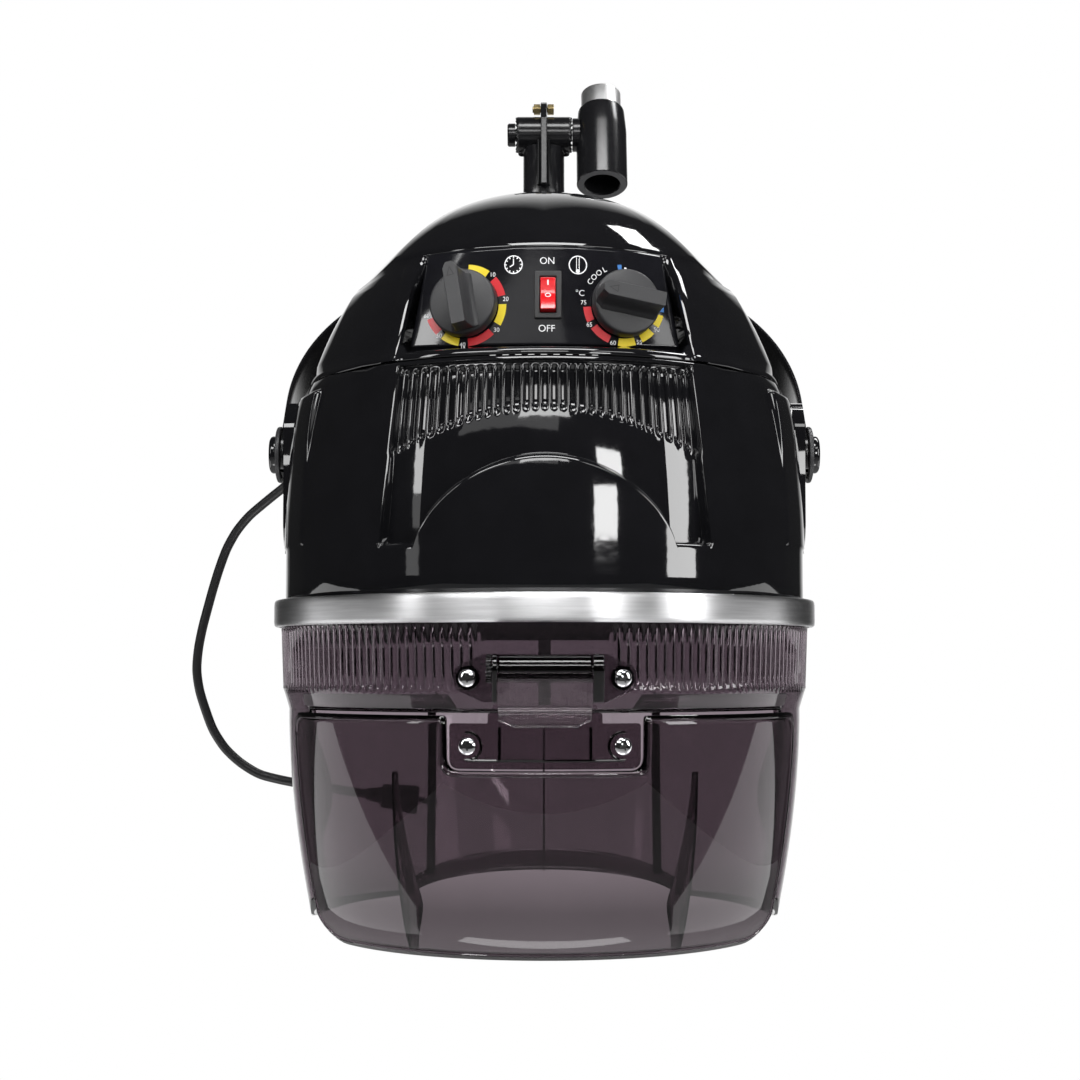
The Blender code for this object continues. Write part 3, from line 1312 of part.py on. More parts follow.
def heater(shop):
    low, high = HEATER_HEIGHT, HEATER_HEIGHT + HEATER_BOARD
    near, far = HEATER_RADIUS - HEATER_HALF_WIDTH, HEATER_RADIUS + HEATER_HALF_WIDTH
    ring = turned([(near, low), (far, low), (far, high), (near, high)], 18)
    board = shop.piece("heater_frame", ring, "inner_board", "hood")
    for i in range(3):
        turn = 2 * math.pi * i / 3
        foot = bowl_height((HEATER_RADIUS - LEG_RADIUS) * HOOD_HALF_WIDTH / REAR_DEPTH) + SEAT
        place = Matrix.Rotation(turn, 4, "Z") @ Matrix.Translation((0, HEATER_RADIUS, 0))
        shop.join(board, rod(LEG_RADIUS, foot, low + MM, 10), place)
    lift = high + SEAT + COIL_RADIUS
    section = []
    for i in range(6):
        turn = 2 * math.pi * i / 6
        section.append((HEATER_RADIUS + COIL_RADIUS * math.sin(turn), lift - COIL_RADIUS * math.cos(turn)))
    shop.piece("heating_coil", turned(section, 18), "inner_metal", "hood")
    gap = HEATER_RADIUS - COIL_RADIUS - 3 * RUNNING
    half = CUTOUT_HALF_WIDTH
    cutout = block((-half, near + MM, high + SEAT), (half, gap, high + CUTOUT_HEIGHT))
    shop.piece("thermal_cutout", cutout, "inner_plastic", "hood")
    base = BOWL_RISE + SEAT
    start = PEDESTAL_RADIUS + PEDESTAL_FLANGE + 2 * MM
    half = TERMINAL_HALF_WIDTH
    terminals = block((-half, start, base), (half, BOWL_FLAT - LEG_RADIUS, base + TERMINAL_HEIGHT))
    shop.piece("terminal_block", terminals, "inner_plastic", "hood")


def gland_frame():
    """The frame on the housing's wall where the cord comes out, with Z pointing out."""
    turn = math.radians(GLAND_ANGLE)
    half_width = HOOD_HALF_WIDTH * dome_share(GLAND_HEIGHT)
    return aimed(outward(turn), plan_point(half_width, turn, GLAND_HEIGHT))


def smooth_route(points, spacing):
    """Even points on a smooth curve through a route's own points."""
    line = []
    padded = [2 * points[0] - points[1]] + points + [2 * points[-1] - points[-2]]
    for a, b, c, d in zip(padded, padded[1:], padded[2:], padded[3:]):
        for i in range(16):
            t = i / 16
            bend = (2 * a - 5 * b + 4 * c - d) * t**2 + (3 * b - a - 3 * c + d) * t**3
            line.append(b + ((c - a) * t + bend) / 2)
    line.append(points[-1])
    even, run = [line[0]], 0.0
    for a, b in zip(line, line[1:]):
        run += (b - a).length
        if run >= spacing:
            even.append(b)
            run = 0.0
    if (even[-1] - points[-1]).length > spacing / 2:
        even.append(points[-1])
    else:
        even[-1] = points[-1]
    return even


def cord_route():
    """Where the cord hangs: out of the gland, bowed to the left, and back behind the visor to its plug."""
    place = gland_frame()
    start = place @ Vector((0, 0, GLAND_LENGTH + 2 * SEAT))
    second = place @ Vector((0, 0, GLAND_LENGTH + 2 * CORD_DIAMETER))
    bow = [(-39.6, 19, -18.7), (-56.7, 27, -33.3), (-69, 33, -51.8), (-77.5, 38, -73.7), (-84.3, 42, -95.7)]
    bow += [(-90, 44, -117.9), (-93, 46, -137.8), (-92.1, 47, -154.7), (-86.2, 48.5, -175.5)]
    bow += [(-77.2, 50, -196.3), (-62.9, 52, -212.6), (-44.6, 53.5, -224.2), (-25.5, 55, -229)]
    bow += [(14.9, 60, -237), (33.1, 64, -239.6)]
    return [start, second] + [start + Vector(offset) * MM for offset in bow]


def mains_cord(shop):
    place = gland_frame()
    neck = GLAND_TIP_RADIUS
    bore = CORD_DIAMETER / 2 + SEAT
    inside = -2 * HOUSING_WALL
    profile = [
        (bore, inside),
        (neck, inside),
        (neck, GLAND_LIFT),
        (GLAND_ROOT_RADIUS, GLAND_LIFT),
        (GLAND_ROOT_RADIUS, GLAND_FLANGE),
        (neck, GLAND_LENGTH),
        (bore, GLAND_LENGTH),
    ]
    shop.piece("cord_gland", turned(profile, 14), "cord_black", "hood", place)
    route = smooth_route(cord_route(), 2.2 * CORD_DIAMETER)
    curve = bpy.data.curves.new("mains_cord", "CURVE")
    curve.dimensions = "3D"
    curve.bevel_depth = CORD_DIAMETER / 2
    curve.bevel_resolution = 2
    curve.use_fill_caps = True
    spline = curve.splines.new("POLY")
    spline.points.add(len(route) - 1)
    for knot, point in zip(spline.points, route):
        knot.co = (*point, 1)
    cord = bpy.data.objects.new("mains_cord", curve)
    bpy.context.collection.objects.link(cord)
    curve.materials.append(shop.finishes["cord_black"])
    cord.parent, origin = shop.frames["hood"]
    cord.location = -origin
    line = (route[-1] - route[-2]).normalized()
    end = aimed(line, route[-1] + line * SEAT)
    radius = CORD_DIAMETER / 2
    relief = [(0, 0), (radius + MM, 0), (2 * radius, PLUG_RELIEF), (0, PLUG_RELIEF)]
    body = extruded(rounded(PLUG_HALF_WIDTH, PLUG_HALF_DEPTH, PLUG_CORNER), PLUG_RELIEF - MM, PLUG_LENGTH)
    plug = shop.piece("mains_plug", body, "cord_black", "hood", end)
    shop.join(plug, turned(relief, 16), end)
    for side in (-1, 1):
        pin = rod(PIN_RADIUS, 0, PIN_LENGTH, 12)
        shop.join(plug, pin, end @ Matrix.Translation((side * PIN_SPREAD, 0, PLUG_LENGTH - MM)))


def build():
    for old in list(bpy.data.objects):
        bpy.data.objects.remove(old)
    shop = Workshop()
    shop.frame("socket", MOUTH)
    shop.frame("post", KNUCKLE, "socket")
    shop.frame("hood", PIVOT, "post")
    shop.frame("flap", HINGE_LINE, "hood")
    for name, side in (("timer_knob", -1), ("temperature_knob", 1)):
        shop.frame(name, panel_frame(side * KNOB_SPREAD, KNOB_HEIGHT).translation, "hood")
    sink = Vector((0, 0, SWITCH_FLANGE - ROCKER_SINK))
    shop.frame("rocker", switch_frame() @ sink, "hood")
    shop.frame("fan", Vector((0, 0, BOWL_RISE)), "hood")
    arm_socket(shop)
    post_and_knuckle(shop)
    yoke_band(shop)
    for side, word in ((-1, "left"), (1, "right")):
        pivot(shop, side, word)
    lower_housing(shop)
    upper_cover(shop)
    control_panel(shop)
    knob_and_control(shop, -1, "timer_knob", "timer_shaft", "timer_body", TIMER_REST)
    knob_and_control(shop, 1, "temperature_knob", "temperature_shaft", "thermostat_body", TEMPERATURE_REST)
    switch(shop)
    trim_ring(shop)
    visor(shop)
    flap(shop)
    flap_hinge(shop)
    diffuser(shop)
    blower(shop)
    heater(shop)
    mains_cord(shop)


build()
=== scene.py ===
"""The looks of the wall-mounted hood dryer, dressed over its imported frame.

Shapes are drawn in millimetres in the hood's own frame, which has its origin on the hood's axis at the
middle of the trim ring, X to the right, Y to the back and Z up. add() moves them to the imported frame,
which is in metres.
"""

import json
from math import asin, cos, degrees, hypot, pi, radians, sin, sqrt, tan, tau

import bmesh
import bpy
from mathutils import Matrix, Vector


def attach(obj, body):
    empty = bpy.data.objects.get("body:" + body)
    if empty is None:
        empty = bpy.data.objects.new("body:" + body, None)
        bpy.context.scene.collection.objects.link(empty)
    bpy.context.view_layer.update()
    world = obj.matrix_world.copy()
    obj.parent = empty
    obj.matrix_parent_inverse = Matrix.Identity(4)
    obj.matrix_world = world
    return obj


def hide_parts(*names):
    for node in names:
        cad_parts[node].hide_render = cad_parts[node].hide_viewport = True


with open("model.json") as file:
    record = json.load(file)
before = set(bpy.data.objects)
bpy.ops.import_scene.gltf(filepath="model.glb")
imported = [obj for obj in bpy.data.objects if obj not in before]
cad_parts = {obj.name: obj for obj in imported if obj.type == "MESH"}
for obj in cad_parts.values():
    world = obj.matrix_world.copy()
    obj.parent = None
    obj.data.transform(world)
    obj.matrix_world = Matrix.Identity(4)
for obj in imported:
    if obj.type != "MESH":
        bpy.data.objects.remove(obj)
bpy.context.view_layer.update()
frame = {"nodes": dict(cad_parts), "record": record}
MM = 0.001

# Sizes in millimetres and angles in degrees
HALF_WIDTH = 177
FRONT_DEPTH = 187
REAR_DEPTH = 193
DOME_START = 40
DOME_HEIGHT = 250
DOME_POWER = 2.2
SEAM_HEIGHT = 154
SEAM_EDGE = SEAM_HEIGHT - 0.8
SEAM_LIP = 0.7
HOUSING_FOOT = 7
HOUSING_WALL = 2.6
NICHE_BOTTOM = 166
NICHE_TOP = 229
NICHE_HALF_BOTTOM = 95
NICHE_HALF_TOP = 84
NICHE_SIDE_SHARE = 0.9
PANEL_FOOT_RADIUS = 380
RECESS_HALF_TOP = 92
RECESS_HALF_BOTTOM = 103
RECESS_BOTTOM = 35
RECESS_DEPTH = 8
RECESS_EDGE = 0.982
FLUTES = 32
FLUTE_DEPTH = 2.6
FLUTE_TOP = 149
FLUTE_RUN_IN = 4
FLUTE_RUN_OUT = 7
FLUTE_FOOT_MIDDLE = 119
FLUTE_FOOT_SIDE = 92
RIB_SHARE = 0.6
SHELF_LOW = 150.4
SHELF_HIGH = 151.6
LAND_HALF_WIDTH = 80
LAND_APEX = 88
LAND_RADIUS = 4
LAND_BEND = 3.6
LAND_EDGE = 4.8
KNOB_SPREAD = 50
KNOB_HEIGHT = 192.5
KNOB_RADIUS = 21.4
GRIP_TOP = 28
TIMER_REST = 11
TEMPERATURE_REST = 80
SWITCH_PLACE = 2
SWITCH_HEIGHT = 198
PRINT_LIFT = 0.12
LABEL_RING = 25.6
RING_HALF_WIDTH = 184.5
RING_HEIGHT = 18
COLLAR_HALF_WIDTH = 180
COLLAR_FLUTES = 186
COLLAR_FOOT = -50
OPENING_TOP = -63
OPENING_ANGLE = 60
WAIST_HALF_WIDTH = 174
RIM_HALF_WIDTH = 157
VISOR_TOP = 3.4
VISOR_RIM = -206
VISOR_WALL = 3
NECK_RISE = 14
NECK_ANGLE = 40
FRONT_RISE = 15
FRONT_RISE_ANGLE = 95
LEAF_TOP = -70
LEAF_FOOT = -145
LEAF_ANGLE = 7
FLAP_TOP = -64.6
FLAP_CREASE = -192
FLAP_BOTTOM = -212
FLAP_TUCK = 12
FLAP_ANGLE = 66
FLAP_WALL = 2.5
FLAP_ROUND = 170
FLAP_LEAN = 5
FIN_TOP = -99
FIN_SKEW = 0.5
FIN_WIDEST = 0.72
HINGE_HEIGHT = -36.5
HINGE_PLATE = 3
BARREL_RADIUS = 8.5
BRACKET_HEIGHT = -42.2
BRACKET_HALF = 14.2
MIDDLE_HALF_LENGTH = 27.5
HINGE_SCREW_PLACE = 46
FLAP_SCREW_HEIGHT = -82.5
PIVOT_HEIGHT = 111
PAD_FACE = 178.2
PAD_LOW = 42
PAD_HIGH = 146
PAD_HALF = 23
PANEL_ANGLE = 28
STRAP_THICKNESS = 2.8
STRAP_WIDTH = 34
YOKE_REACH = 220
YOKE_POWER = 2.1
YOKE_LEG = 40
KNUCKLE_RADIUS = 14
KNUCKLE_HALF = 22
POST_RADIUS = 16
BORE = 13.5
BOWL_EDGE = 168.8
CORD_DIAMETER = 7
GLAND_LENGTH = 26
GLAND_HEIGHT = 106
SEAT = 0.3
MELT = 1e-4

# Places
YOKE_LINE = Vector((0, sin(radians(45)), cos(radians(45))))
PIVOT = Vector((0, 0, PIVOT_HEIGHT))
CROWN = PIVOT + YOKE_LINE * YOKE_REACH
KNUCKLE = Vector((0, CROWN.y, 379))
SOCKET_UP = Vector((0, sin(radians(20)), cos(radians(20))))
MOUTH = KNUCKLE + Vector((45, 0, 0)) - SOCKET_UP * 46
BRACKET_FACE = 183.5 * FRONT_DEPTH / HALF_WIDTH
HINGE_LINE = Vector((0, -BRACKET_FACE - BARREL_RADIUS, HINGE_HEIGHT))
TO_FRAME = Matrix.Scale(MM, 4) @ Matrix.Translation(-MOUTH)

# Stands an outline on its side: its X becomes Y, its Y becomes Z, and its thickness runs along X
SIDEWAYS = Matrix(((0, 0, 1, 0), (1, 0, 0, 0), (0, 1, 0, 0), (0, 0, 0, 1)))


# Materials

def feed(tree, socket, value):
    """Sets a node's input, or links it where the value is another node's output."""
    if isinstance(value, bpy.types.NodeSocket):
        tree.links.new(value, socket)
    else:
        socket.default_value = value


def node(tree, kind, *inputs, **settings):
    """A shader node with its properties set and its inputs fed, by place or by name."""
    made = tree.nodes.new(kind)
    for name, value in settings.items():
        if hasattr(made, name):
            setattr(made, name, value)
        else:
            feed(tree, made.inputs[name.replace("_", " ")], value)
    for socket, value in zip(made.inputs, inputs):
        feed(tree, socket, value)
    return made


def tinted(tree, share, first, second, blend):
    """The colour between two colours, or of one on the other."""
    made = node(tree, "ShaderNodeMix", share, data_type="RGBA", blend_type=blend)
    feed(tree, made.inputs[6], first)
    feed(tree, made.inputs[7], second)
    return made.outputs[2]


def material(name, colour, roughness, grain, spread, bump, sockets=(), stretch=(1, 1, 1)):
    """A Principled surface whose colour, roughness and relief vary with a noise of the given grain size."""
    made = bpy.data.materials.new(name)
    made.use_nodes = True
    tree = made.node_tree
    surface = tree.nodes["Principled BSDF"].inputs
    for socket, value in dict(sockets).items():
        surface[socket].default_value = value
    surface["Base Color"].default_value = (*colour, 1)
    surface["Roughness"].default_value = roughness
    place = node(tree, "ShaderNodeTexCoord").outputs["Object"]
    scaled = node(tree, "ShaderNodeMapping", Vector=place, Scale=stretch).outputs["Vector"]
    grain *= MM
    noise = node(tree, "ShaderNodeTexNoise", Vector=scaled, Scale=1 / grain, Detail=3.0, Roughness=0.6)
    noise = noise.outputs["Fac"]
    dark = (*(c * (1 - spread) for c in colour), 1)
    pale = (*(min(1, c * (1 + spread)) for c in colour), 1)
    feed(tree, surface["Base Color"], tinted(tree, noise, dark, pale, "MIX"))
    smooth, rough = roughness * (1 - spread), roughness * (1 + spread)
    gloss = node(tree, "ShaderNodeMapRange", Value=noise, To_Min=smooth, To_Max=rough)
    feed(tree, surface["Roughness"], gloss.outputs["Result"])
    relief = node(tree, "ShaderNodeBump", Height=noise, Strength=bump, Distance=grain / 4)
    feed(tree, surface["Normal"], relief.outputs["Normal"])
    return made


def painted_foot_shade(look, low, high, share):
    """Paints shade into a look's colour: darkens it towards the foot of its piece, between two shares of the
    piece's height.
    """
    tree = look.node_tree
    colour = tree.nodes["Principled BSDF"].inputs["Base Color"]
    split = node(tree, "ShaderNodeSeparateXYZ", node(tree, "ShaderNodeTexCoord").outputs["Generated"])
    rise = split.outputs["Z"]
    # The painted shade: a share that dims the colour near the piece's foot
    dim = node(tree, "ShaderNodeMapRange", Value=rise, From_Min=low, From_Max=high, To_Min=share, To_Max=1.0)
    feed(tree, colour, tinted(tree, 1, colour.links[0].from_socket, dim.outputs["Result"], "MULTIPLY"))


METAL = {"Metallic": 1.0}
BRUSHED = METAL | {"Anisotropic": 0.9, "Anisotropic Rotation": 0.25}
CLEAR = {"Transmission Weight": 1.0, "IOR": 1.47}
LOOK_ROWS = (
    ("gloss_black", (0.006, 0.006, 0.007), 0.05, 30, 0.3, 0.02, {"Coat Weight": 0.4}),
    ("panel_black", (0.008, 0.008, 0.01), 0.1, 8, 0.3, 0.02),
    ("charcoal", (0.032, 0.032, 0.034), 0.4, 0.6, 0.35, 0.7),
    ("switch_grey", (0.03, 0.03, 0.031), 0.4, 0.8, 0.2, 0.3),
    ("red_lens", (0.72, 0.006, 0.012), 0.16, 3, 0.25, 0.05, {"Coat Weight": 0.5}),
    ("aluminium", (0.82, 0.82, 0.83), 0.4, 1.6, 0.2, 0.1, BRUSHED, (0.04, 0.04, 1)),
    ("smoke", (0.265, 0.22, 0.25), 0.015, 20, 0.06, 0.0, CLEAR),
    ("smoke_flap", (0.19, 0.155, 0.175), 0.015, 20, 0.06, 0.0, CLEAR),
    ("smoke_clear", (0.75, 0.70, 0.73), 0.015, 20, 0.06, 0.0, CLEAR),
    ("smoke_dark", (0.14, 0.105, 0.125), 0.03, 12, 0.08, 0.0, CLEAR),
    ("smoke_black", (0.012, 0.009, 0.011), 0.03, 12, 0.08, 0.0, CLEAR),
    ("steel_black", (0.008, 0.008, 0.009), 0.2, 2.2, 0.3, 0.04),
    ("cut_steel", (0.10, 0.10, 0.105), 0.4, 0.9, 0.25, 0.15),
    ("chrome", (0.82, 0.82, 0.84), 0.06, 5, 0.1, 0.02, METAL),
    ("tube_chrome", (0.92, 0.92, 0.92), 0.4, 3, 0.15, 0.03, METAL),
    ("zinc_yellow", (0.42, 0.33, 0.16), 0.3, 1.5, 0.3, 0.15, METAL),
    ("cord_black", (0.012, 0.012, 0.013), 0.38, 1.2, 0.2, 0.15),
    ("inner_metal", (0.45, 0.45, 0.46), 0.35, 1, 0.2, 0.1, METAL),
    ("inner_board", (0.42, 0.34, 0.22), 0.7, 2, 0.3, 0.2),
    ("inner_plastic", (0.05, 0.05, 0.05), 0.5, 1, 0.2, 0.2),
    ("ink_white", (0.85, 0.85, 0.86), 0.4, 0.6, 0.05, 0.1),
    ("ink_yellow", (0.80, 0.62, 0.01), 0.35, 0.6, 0.08, 0.1),
    ("ink_red", (0.62, 0.012, 0.02), 0.35, 0.6, 0.08, 0.1),
    ("ink_blue", (0.03, 0.16, 0.45), 0.35, 0.6, 0.08, 0.1),
    # Black print on the knob marks, and painted shade in the screws' cross recesses
    ("ink_black", (0.006, 0.006, 0.006), 0.5, 0.6, 0.1, 0.1),
)
LOOKS = {row[0]: material(*row) for row in LOOK_ROWS}
# Painted shade: the flap's smoke darkens towards its foot, for the shadowed background seen through its lower
# part
painted_foot_shade(LOOKS["smoke_flap"], 0.2, 0.4, 0.5)

# The record's slot of each look that isn't one itself
SLOTS = {"cut_steel": "steel_black", "tube_chrome": "chrome", "ink_black": "charcoal"}
SLOTS |= {f"smoke_{tone}": "smoke" for tone in ("flap", "clear", "dark", "black")}
SLOTS |= {f"ink_{ink}": "panel_black" for ink in ("white", "yellow", "red", "blue")}


# Building blocks

def add(name, bm, look, body, replaces=None, sharp=35, bevel=0.0, wall=0.0, rim_only=False):
    """A finished piece from a shape in the hood's frame, riding on a body and standing for a solid."""
    bm.normal_update()
    bmesh.ops.recalc_face_normals(bm, faces=bm.faces)
    if wall and sum(face.normal.dot(face.calc_center_median()) for face in bm.faces) < 0:
        bmesh.ops.reverse_faces(bm, faces=bm.faces)
    bm.transform(TO_FRAME)
    mesh = bpy.data.meshes.new(name)
    bm.to_mesh(mesh)
    bm.free()
    mesh.shade_smooth()
    mesh.set_sharp_from_angle(angle=radians(sharp))
    made = bpy.data.objects.new(name, mesh)
    bpy.context.collection.objects.link(made)
    mesh.materials.append(LOOKS[look])
    if wall:
        shell = made.modifiers.new("Wall", "SOLIDIFY")
        shell.thickness = wall * MM
        shell.offset = -1
        shell.use_rim_only = rim_only
    if bevel:
        edge = made.modifiers.new("Edges", "BEVEL")
        edge.width = bevel * MM
        edge.segments = 2
        edge.limit_method = "ANGLE"
        edge.angle_limit = radians(sharp)
        edge.harden_normals = True
    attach(made, body)
    if replaces:
        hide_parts(replaces)
    return made


def grid(rows, columns, point, closed=True, tip=None, keep=None):
    """A skin through a grid of points, closed round its columns or open, with a tip over its last row."""
    bm = bmesh.new()
    lines = [[bm.verts.new(point(r, c)) for c in range(columns)] for r in range(rows)]
    for r in range(rows - 1):
        for c in range(columns if closed else columns - 1):
            if keep is None or keep(r, c):
                d = (c + 1) % columns
                bm.faces.new([lines[r][c], lines[r][d], lines[r + 1][d], lines[r + 1][c]])
    if tip is not None:
        top = bm.verts.new(tip)
        for c in range(columns):
            bm.faces.new([lines[-1][c], lines[-1][(c + 1) % columns], top])
    loose = [v for v in bm.verts if not v.link_faces]
    bmesh.ops.delete(bm, geom=loose, context="VERTS")
    return bm


def around(radius, share):
    """A point on a circle, at a share of a full turn."""
    return radius * cos(tau * share), radius * sin(tau * share)


def turned(profile, sides=64):
    """A turned solid about Z. A profile that starts on the axis is open there, any other closes to a ring."""
    bm = bmesh.new()
    rings = []
    for radius, height in profile:
        if radius == 0:
            rings.append([bm.verts.new((0, 0, height))] * sides)
        else:
            rings.append([bm.verts.new((*around(radius, i / sides), height)) for i in range(sides)])
    pairs = list(zip(rings, rings[1:]))
    if profile[0][0] > 0:
        pairs.append((rings[-1], rings[0]))
    for first, second in pairs:
        for i in range(sides):
            j = (i + 1) % sides
            corners = dict.fromkeys((first[i], first[j], second[j], second[i]))
            if len(corners) > 2:
                bm.faces.new(list(corners))
    return bm


def extruded(outline, low, high):
    """A flat outline in X and Y, drawn out along Z from low to high."""
    bm = grid(2, len(outline), lambda row, column: (*outline[column], (low, high)[row]))
    for level in (low, high):
        bm.faces.new([v for v in bm.verts if abs(v.co.z - level) < MELT])
    return bm


def rectangle(x, y):
    return [(-x, -y), (x, -y), (x, y), (-x, y)]


def rounded(corners, radius, steps):
    """An outline with one radius on all its corners."""
    return softened([(x, y, radius) for x, y in corners], steps)


def mirrored(corners):
    """One half's corners and their radii, followed by the same on the other side."""
    return corners + [(-x, y, radius) for x, y, radius in reversed(corners)]


def softened(corners, steps):
    """An outline with its corners rounded. Each corner gives its place and its radius."""
    points = []
    count = len(corners)
    for i, (x, y, radius) in enumerate(corners):
        here = Vector((x, y))
        before = (Vector(corners[i - 1][:2]) - here).normalized()
        after = (Vector(corners[(i + 1) % count][:2]) - here).normalized()
        reach = radius / tan(before.angle(after) / 2)
        start, end = here + before * reach, here + after * reach
        for k in range(steps + 1):
            t = k / steps
            points.append(tuple((1 - t) ** 2 * start + 2 * t * (1 - t) * here + t**2 * end))
    return points


def sheet(outline, step, place):
    """A flat outline cut into cells of about a step and laid on a surface by place(x, y)."""
    bm = bmesh.new()
    bm.faces.new([bm.verts.new((x, y, 0)) for x, y in outline])
    for axis, normal in ((0, (1, 0, 0)), (1, (0, 1, 0))):
        low = min(corner[axis] for corner in outline)
        high = max(corner[axis] for corner in outline)
        count = max(1, round((high - low) / step))
        for i in range(1, count):
            cut = Vector(normal) * mix(low, high, i / count)
            everything = bm.verts[:] + bm.edges[:] + bm.faces[:]
            bmesh.ops.bisect_plane(bm, geom=everything, dist=MELT, plane_co=cut, plane_no=normal)
    for vertex in bm.verts:
        vertex.co = place(vertex.co.x, vertex.co.y)
    return bm


def tube(path, radius, sides=8):
    """A closed tube along points, with one radius or a function that gives the radius at each of them."""
    rings = []
    side = Vector((0, 0, 1))
    for i, here in enumerate(path):
        along = (path[min(i + 1, len(path) - 1)] - path[max(i - 1, 0)]).normalized()
        if abs(along.dot(side)) > 0.9:
            side = Vector((1, 0, 0))
        side = (side - along * side.dot(along)).normalized()
        turns = [around(radius(i) if callable(radius) else radius, k / sides) for k in range(sides)]
        rings.append([here + side * x + along.cross(side) * y for x, y in turns])
    bm = grid(len(path), sides, lambda row, column: rings[row][column])
    bm.verts.ensure_lookup_table()
    for end in (bm.verts[:sides], bm.verts[-sides:]):
        bm.faces.new(end)
    return bm


def merged(*shapes):
    """Several shapes as one."""
    whole = bmesh.new()
    for shape in shapes:
        mesh = bpy.data.meshes.new("shape")
        bmesh.ops.recalc_face_normals(shape, faces=shape.faces)
        shape.to_mesh(mesh)
        shape.free()
        whole.from_mesh(mesh)
        bpy.data.meshes.remove(mesh)
    return whole


def moved(bm, place):
    bm.transform(place)
    return bm


def aimed(axis, place):
    """The frame at a place whose Z runs along an axis and whose Y stays as near upright as it can."""
    z = Vector(axis).normalized()
    up = Vector((0, 0, 1)) if abs(z.z) < 0.9 else Vector((0, 1, 0))
    x = up.cross(z).normalized()
    return Matrix.Translation(place) @ Matrix((x, z.cross(x), z)).transposed().to_4x4()


def mix(a, b, share):
    return a + (b - a) * share


def within(share):
    return max(0.0, min(1.0, share))


def ease(value, low, high):
    """0 below low, 1 above high, and a smooth rise between them."""
    share = within((value - low) / (high - low))
    return share * share * (3 - 2 * share)


def smooth_route(points, spacing):
    """Even points on a smooth curve through a route's own points."""
    line = []
    padded = [2 * points[0] - points[1]] + points + [2 * points[-1] - points[-2]]
    for a, b, c, d in zip(padded, padded[1:], padded[2:], padded[3:]):
        for i in range(16):
            t = i / 16
            bend = (2 * a - 5 * b + 4 * c - d) * t**2 + (3 * b - a - 3 * c + d) * t**3
            line.append(0.5 * (2 * b + (c - a) * t + bend))
    line.append(points[-1])
    even, run = [line[0]], 0.0
    for a, b in zip(line, line[1:]):
        run += (b - a).length
        if run >= spacing:
            even.append(b)
            run = 0.0
    if (even[-1] - points[-1]).length > spacing / 2:
        even.append(points[-1])
    else:
        even[-1] = points[-1]
    return even


# Forms of the hood

def dome_half(height):
    """Half the hood's width at a height."""
    rise = max(0.0, height - DOME_START) / DOME_HEIGHT
    return HALF_WIDTH * max(0.0, 1 - rise**DOME_POWER) ** (1 / DOME_POWER)


def depth_ratio(turn):
    return (FRONT_DEPTH if cos(turn) > 0 else REAR_DEPTH) / HALF_WIDTH


def plan_point(half_width, turn, height):
    """A point on the hood's oval plan, turned from the front towards +X."""
    return Vector((half_width * sin(turn), -half_width * depth_ratio(turn) * cos(turn), height))


def outward(turn):
    """The oval plan's outward direction at a turn."""
    return Vector((sin(turn) * depth_ratio(turn), -cos(turn), 0)).normalized()


def front_turn(half_width, x):
    return asin(max(-1.0, min(1.0, x / half_width)))


def front_point(half_width, x, height):
    return plan_point(half_width, front_turn(half_width, x), height)


def niche_share(height):
    return (height - NICHE_BOTTOM) / (NICHE_TOP - NICHE_BOTTOM)


def niche_half_width(height):
    if height > NICHE_TOP:
        return NICHE_HALF_TOP * dome_half(height) / dome_half(NICHE_TOP)
    return mix(NICHE_HALF_BOTTOM, NICHE_HALF_TOP, niche_share(height))


def panel_point(across, height):
    """The control panel's face: across runs from -1 to 1 between the niche's side walls."""
    half_top = dome_half(NICHE_TOP)
    top = front_point(half_top, across * NICHE_SIDE_SHARE * NICHE_HALF_TOP, NICHE_TOP)
    foot_x = across * NICHE_SIDE_SHARE * NICHE_HALF_BOTTOM
    foot_y = front_point(half_top, 0, NICHE_TOP).y + foot_x**2 / (2 * PANEL_FOOT_RADIUS)
    share = niche_share(height)
    return Vector((mix(foot_x, top.x, share), mix(foot_y, top.y, share), height))


def panel_at(x, height):
    """The panel's face at a distance from the middle."""
    return panel_point(x / (NICHE_SIDE_SHARE * niche_half_width(height)), height)


def panel_frame(x, height):
    """The frame on the panel's face at a place, with Z pointing out of it."""
    right = panel_at(x + 1, height) - panel_at(x - 1, height)
    up = panel_at(x, height + 1) - panel_at(x, height - 1)
    return aimed(right.cross(up), panel_at(x, height))


# Housing

def land_height(share):
    """The upper edge of the smooth arched land, at a share of the recess's half width."""
    bow = max(0.0, 1 - (share * RECESS_HALF_BOTTOM / LAND_HALF_WIDTH) ** 2)
    return RECESS_BOTTOM + 1 + (LAND_APEX - RECESS_BOTTOM) * bow**0.6


def land_drop(rise):
    """How far the land has fallen back to the recess at a height above its arched edge."""
    if rise <= 0:
        return 0.0
    rounded = LAND_RADIUS - sqrt(LAND_RADIUS**2 - min(rise, LAND_BEND) ** 2)
    return mix(rounded, RECESS_DEPTH, ease(rise, LAND_BEND, LAND_EDGE))


def flute_foot(share):
    return mix(FLUTE_FOOT_MIDDLE, FLUTE_FOOT_SIDE, share**2)


def rib(across):
    """How far a flute's half-round rib stands up at a place across it, from 0 to 1."""
    away = abs(across % 1 - 0.5) * 2 / RIB_SHARE
    return sqrt(max(0.0, 1 - away * away))


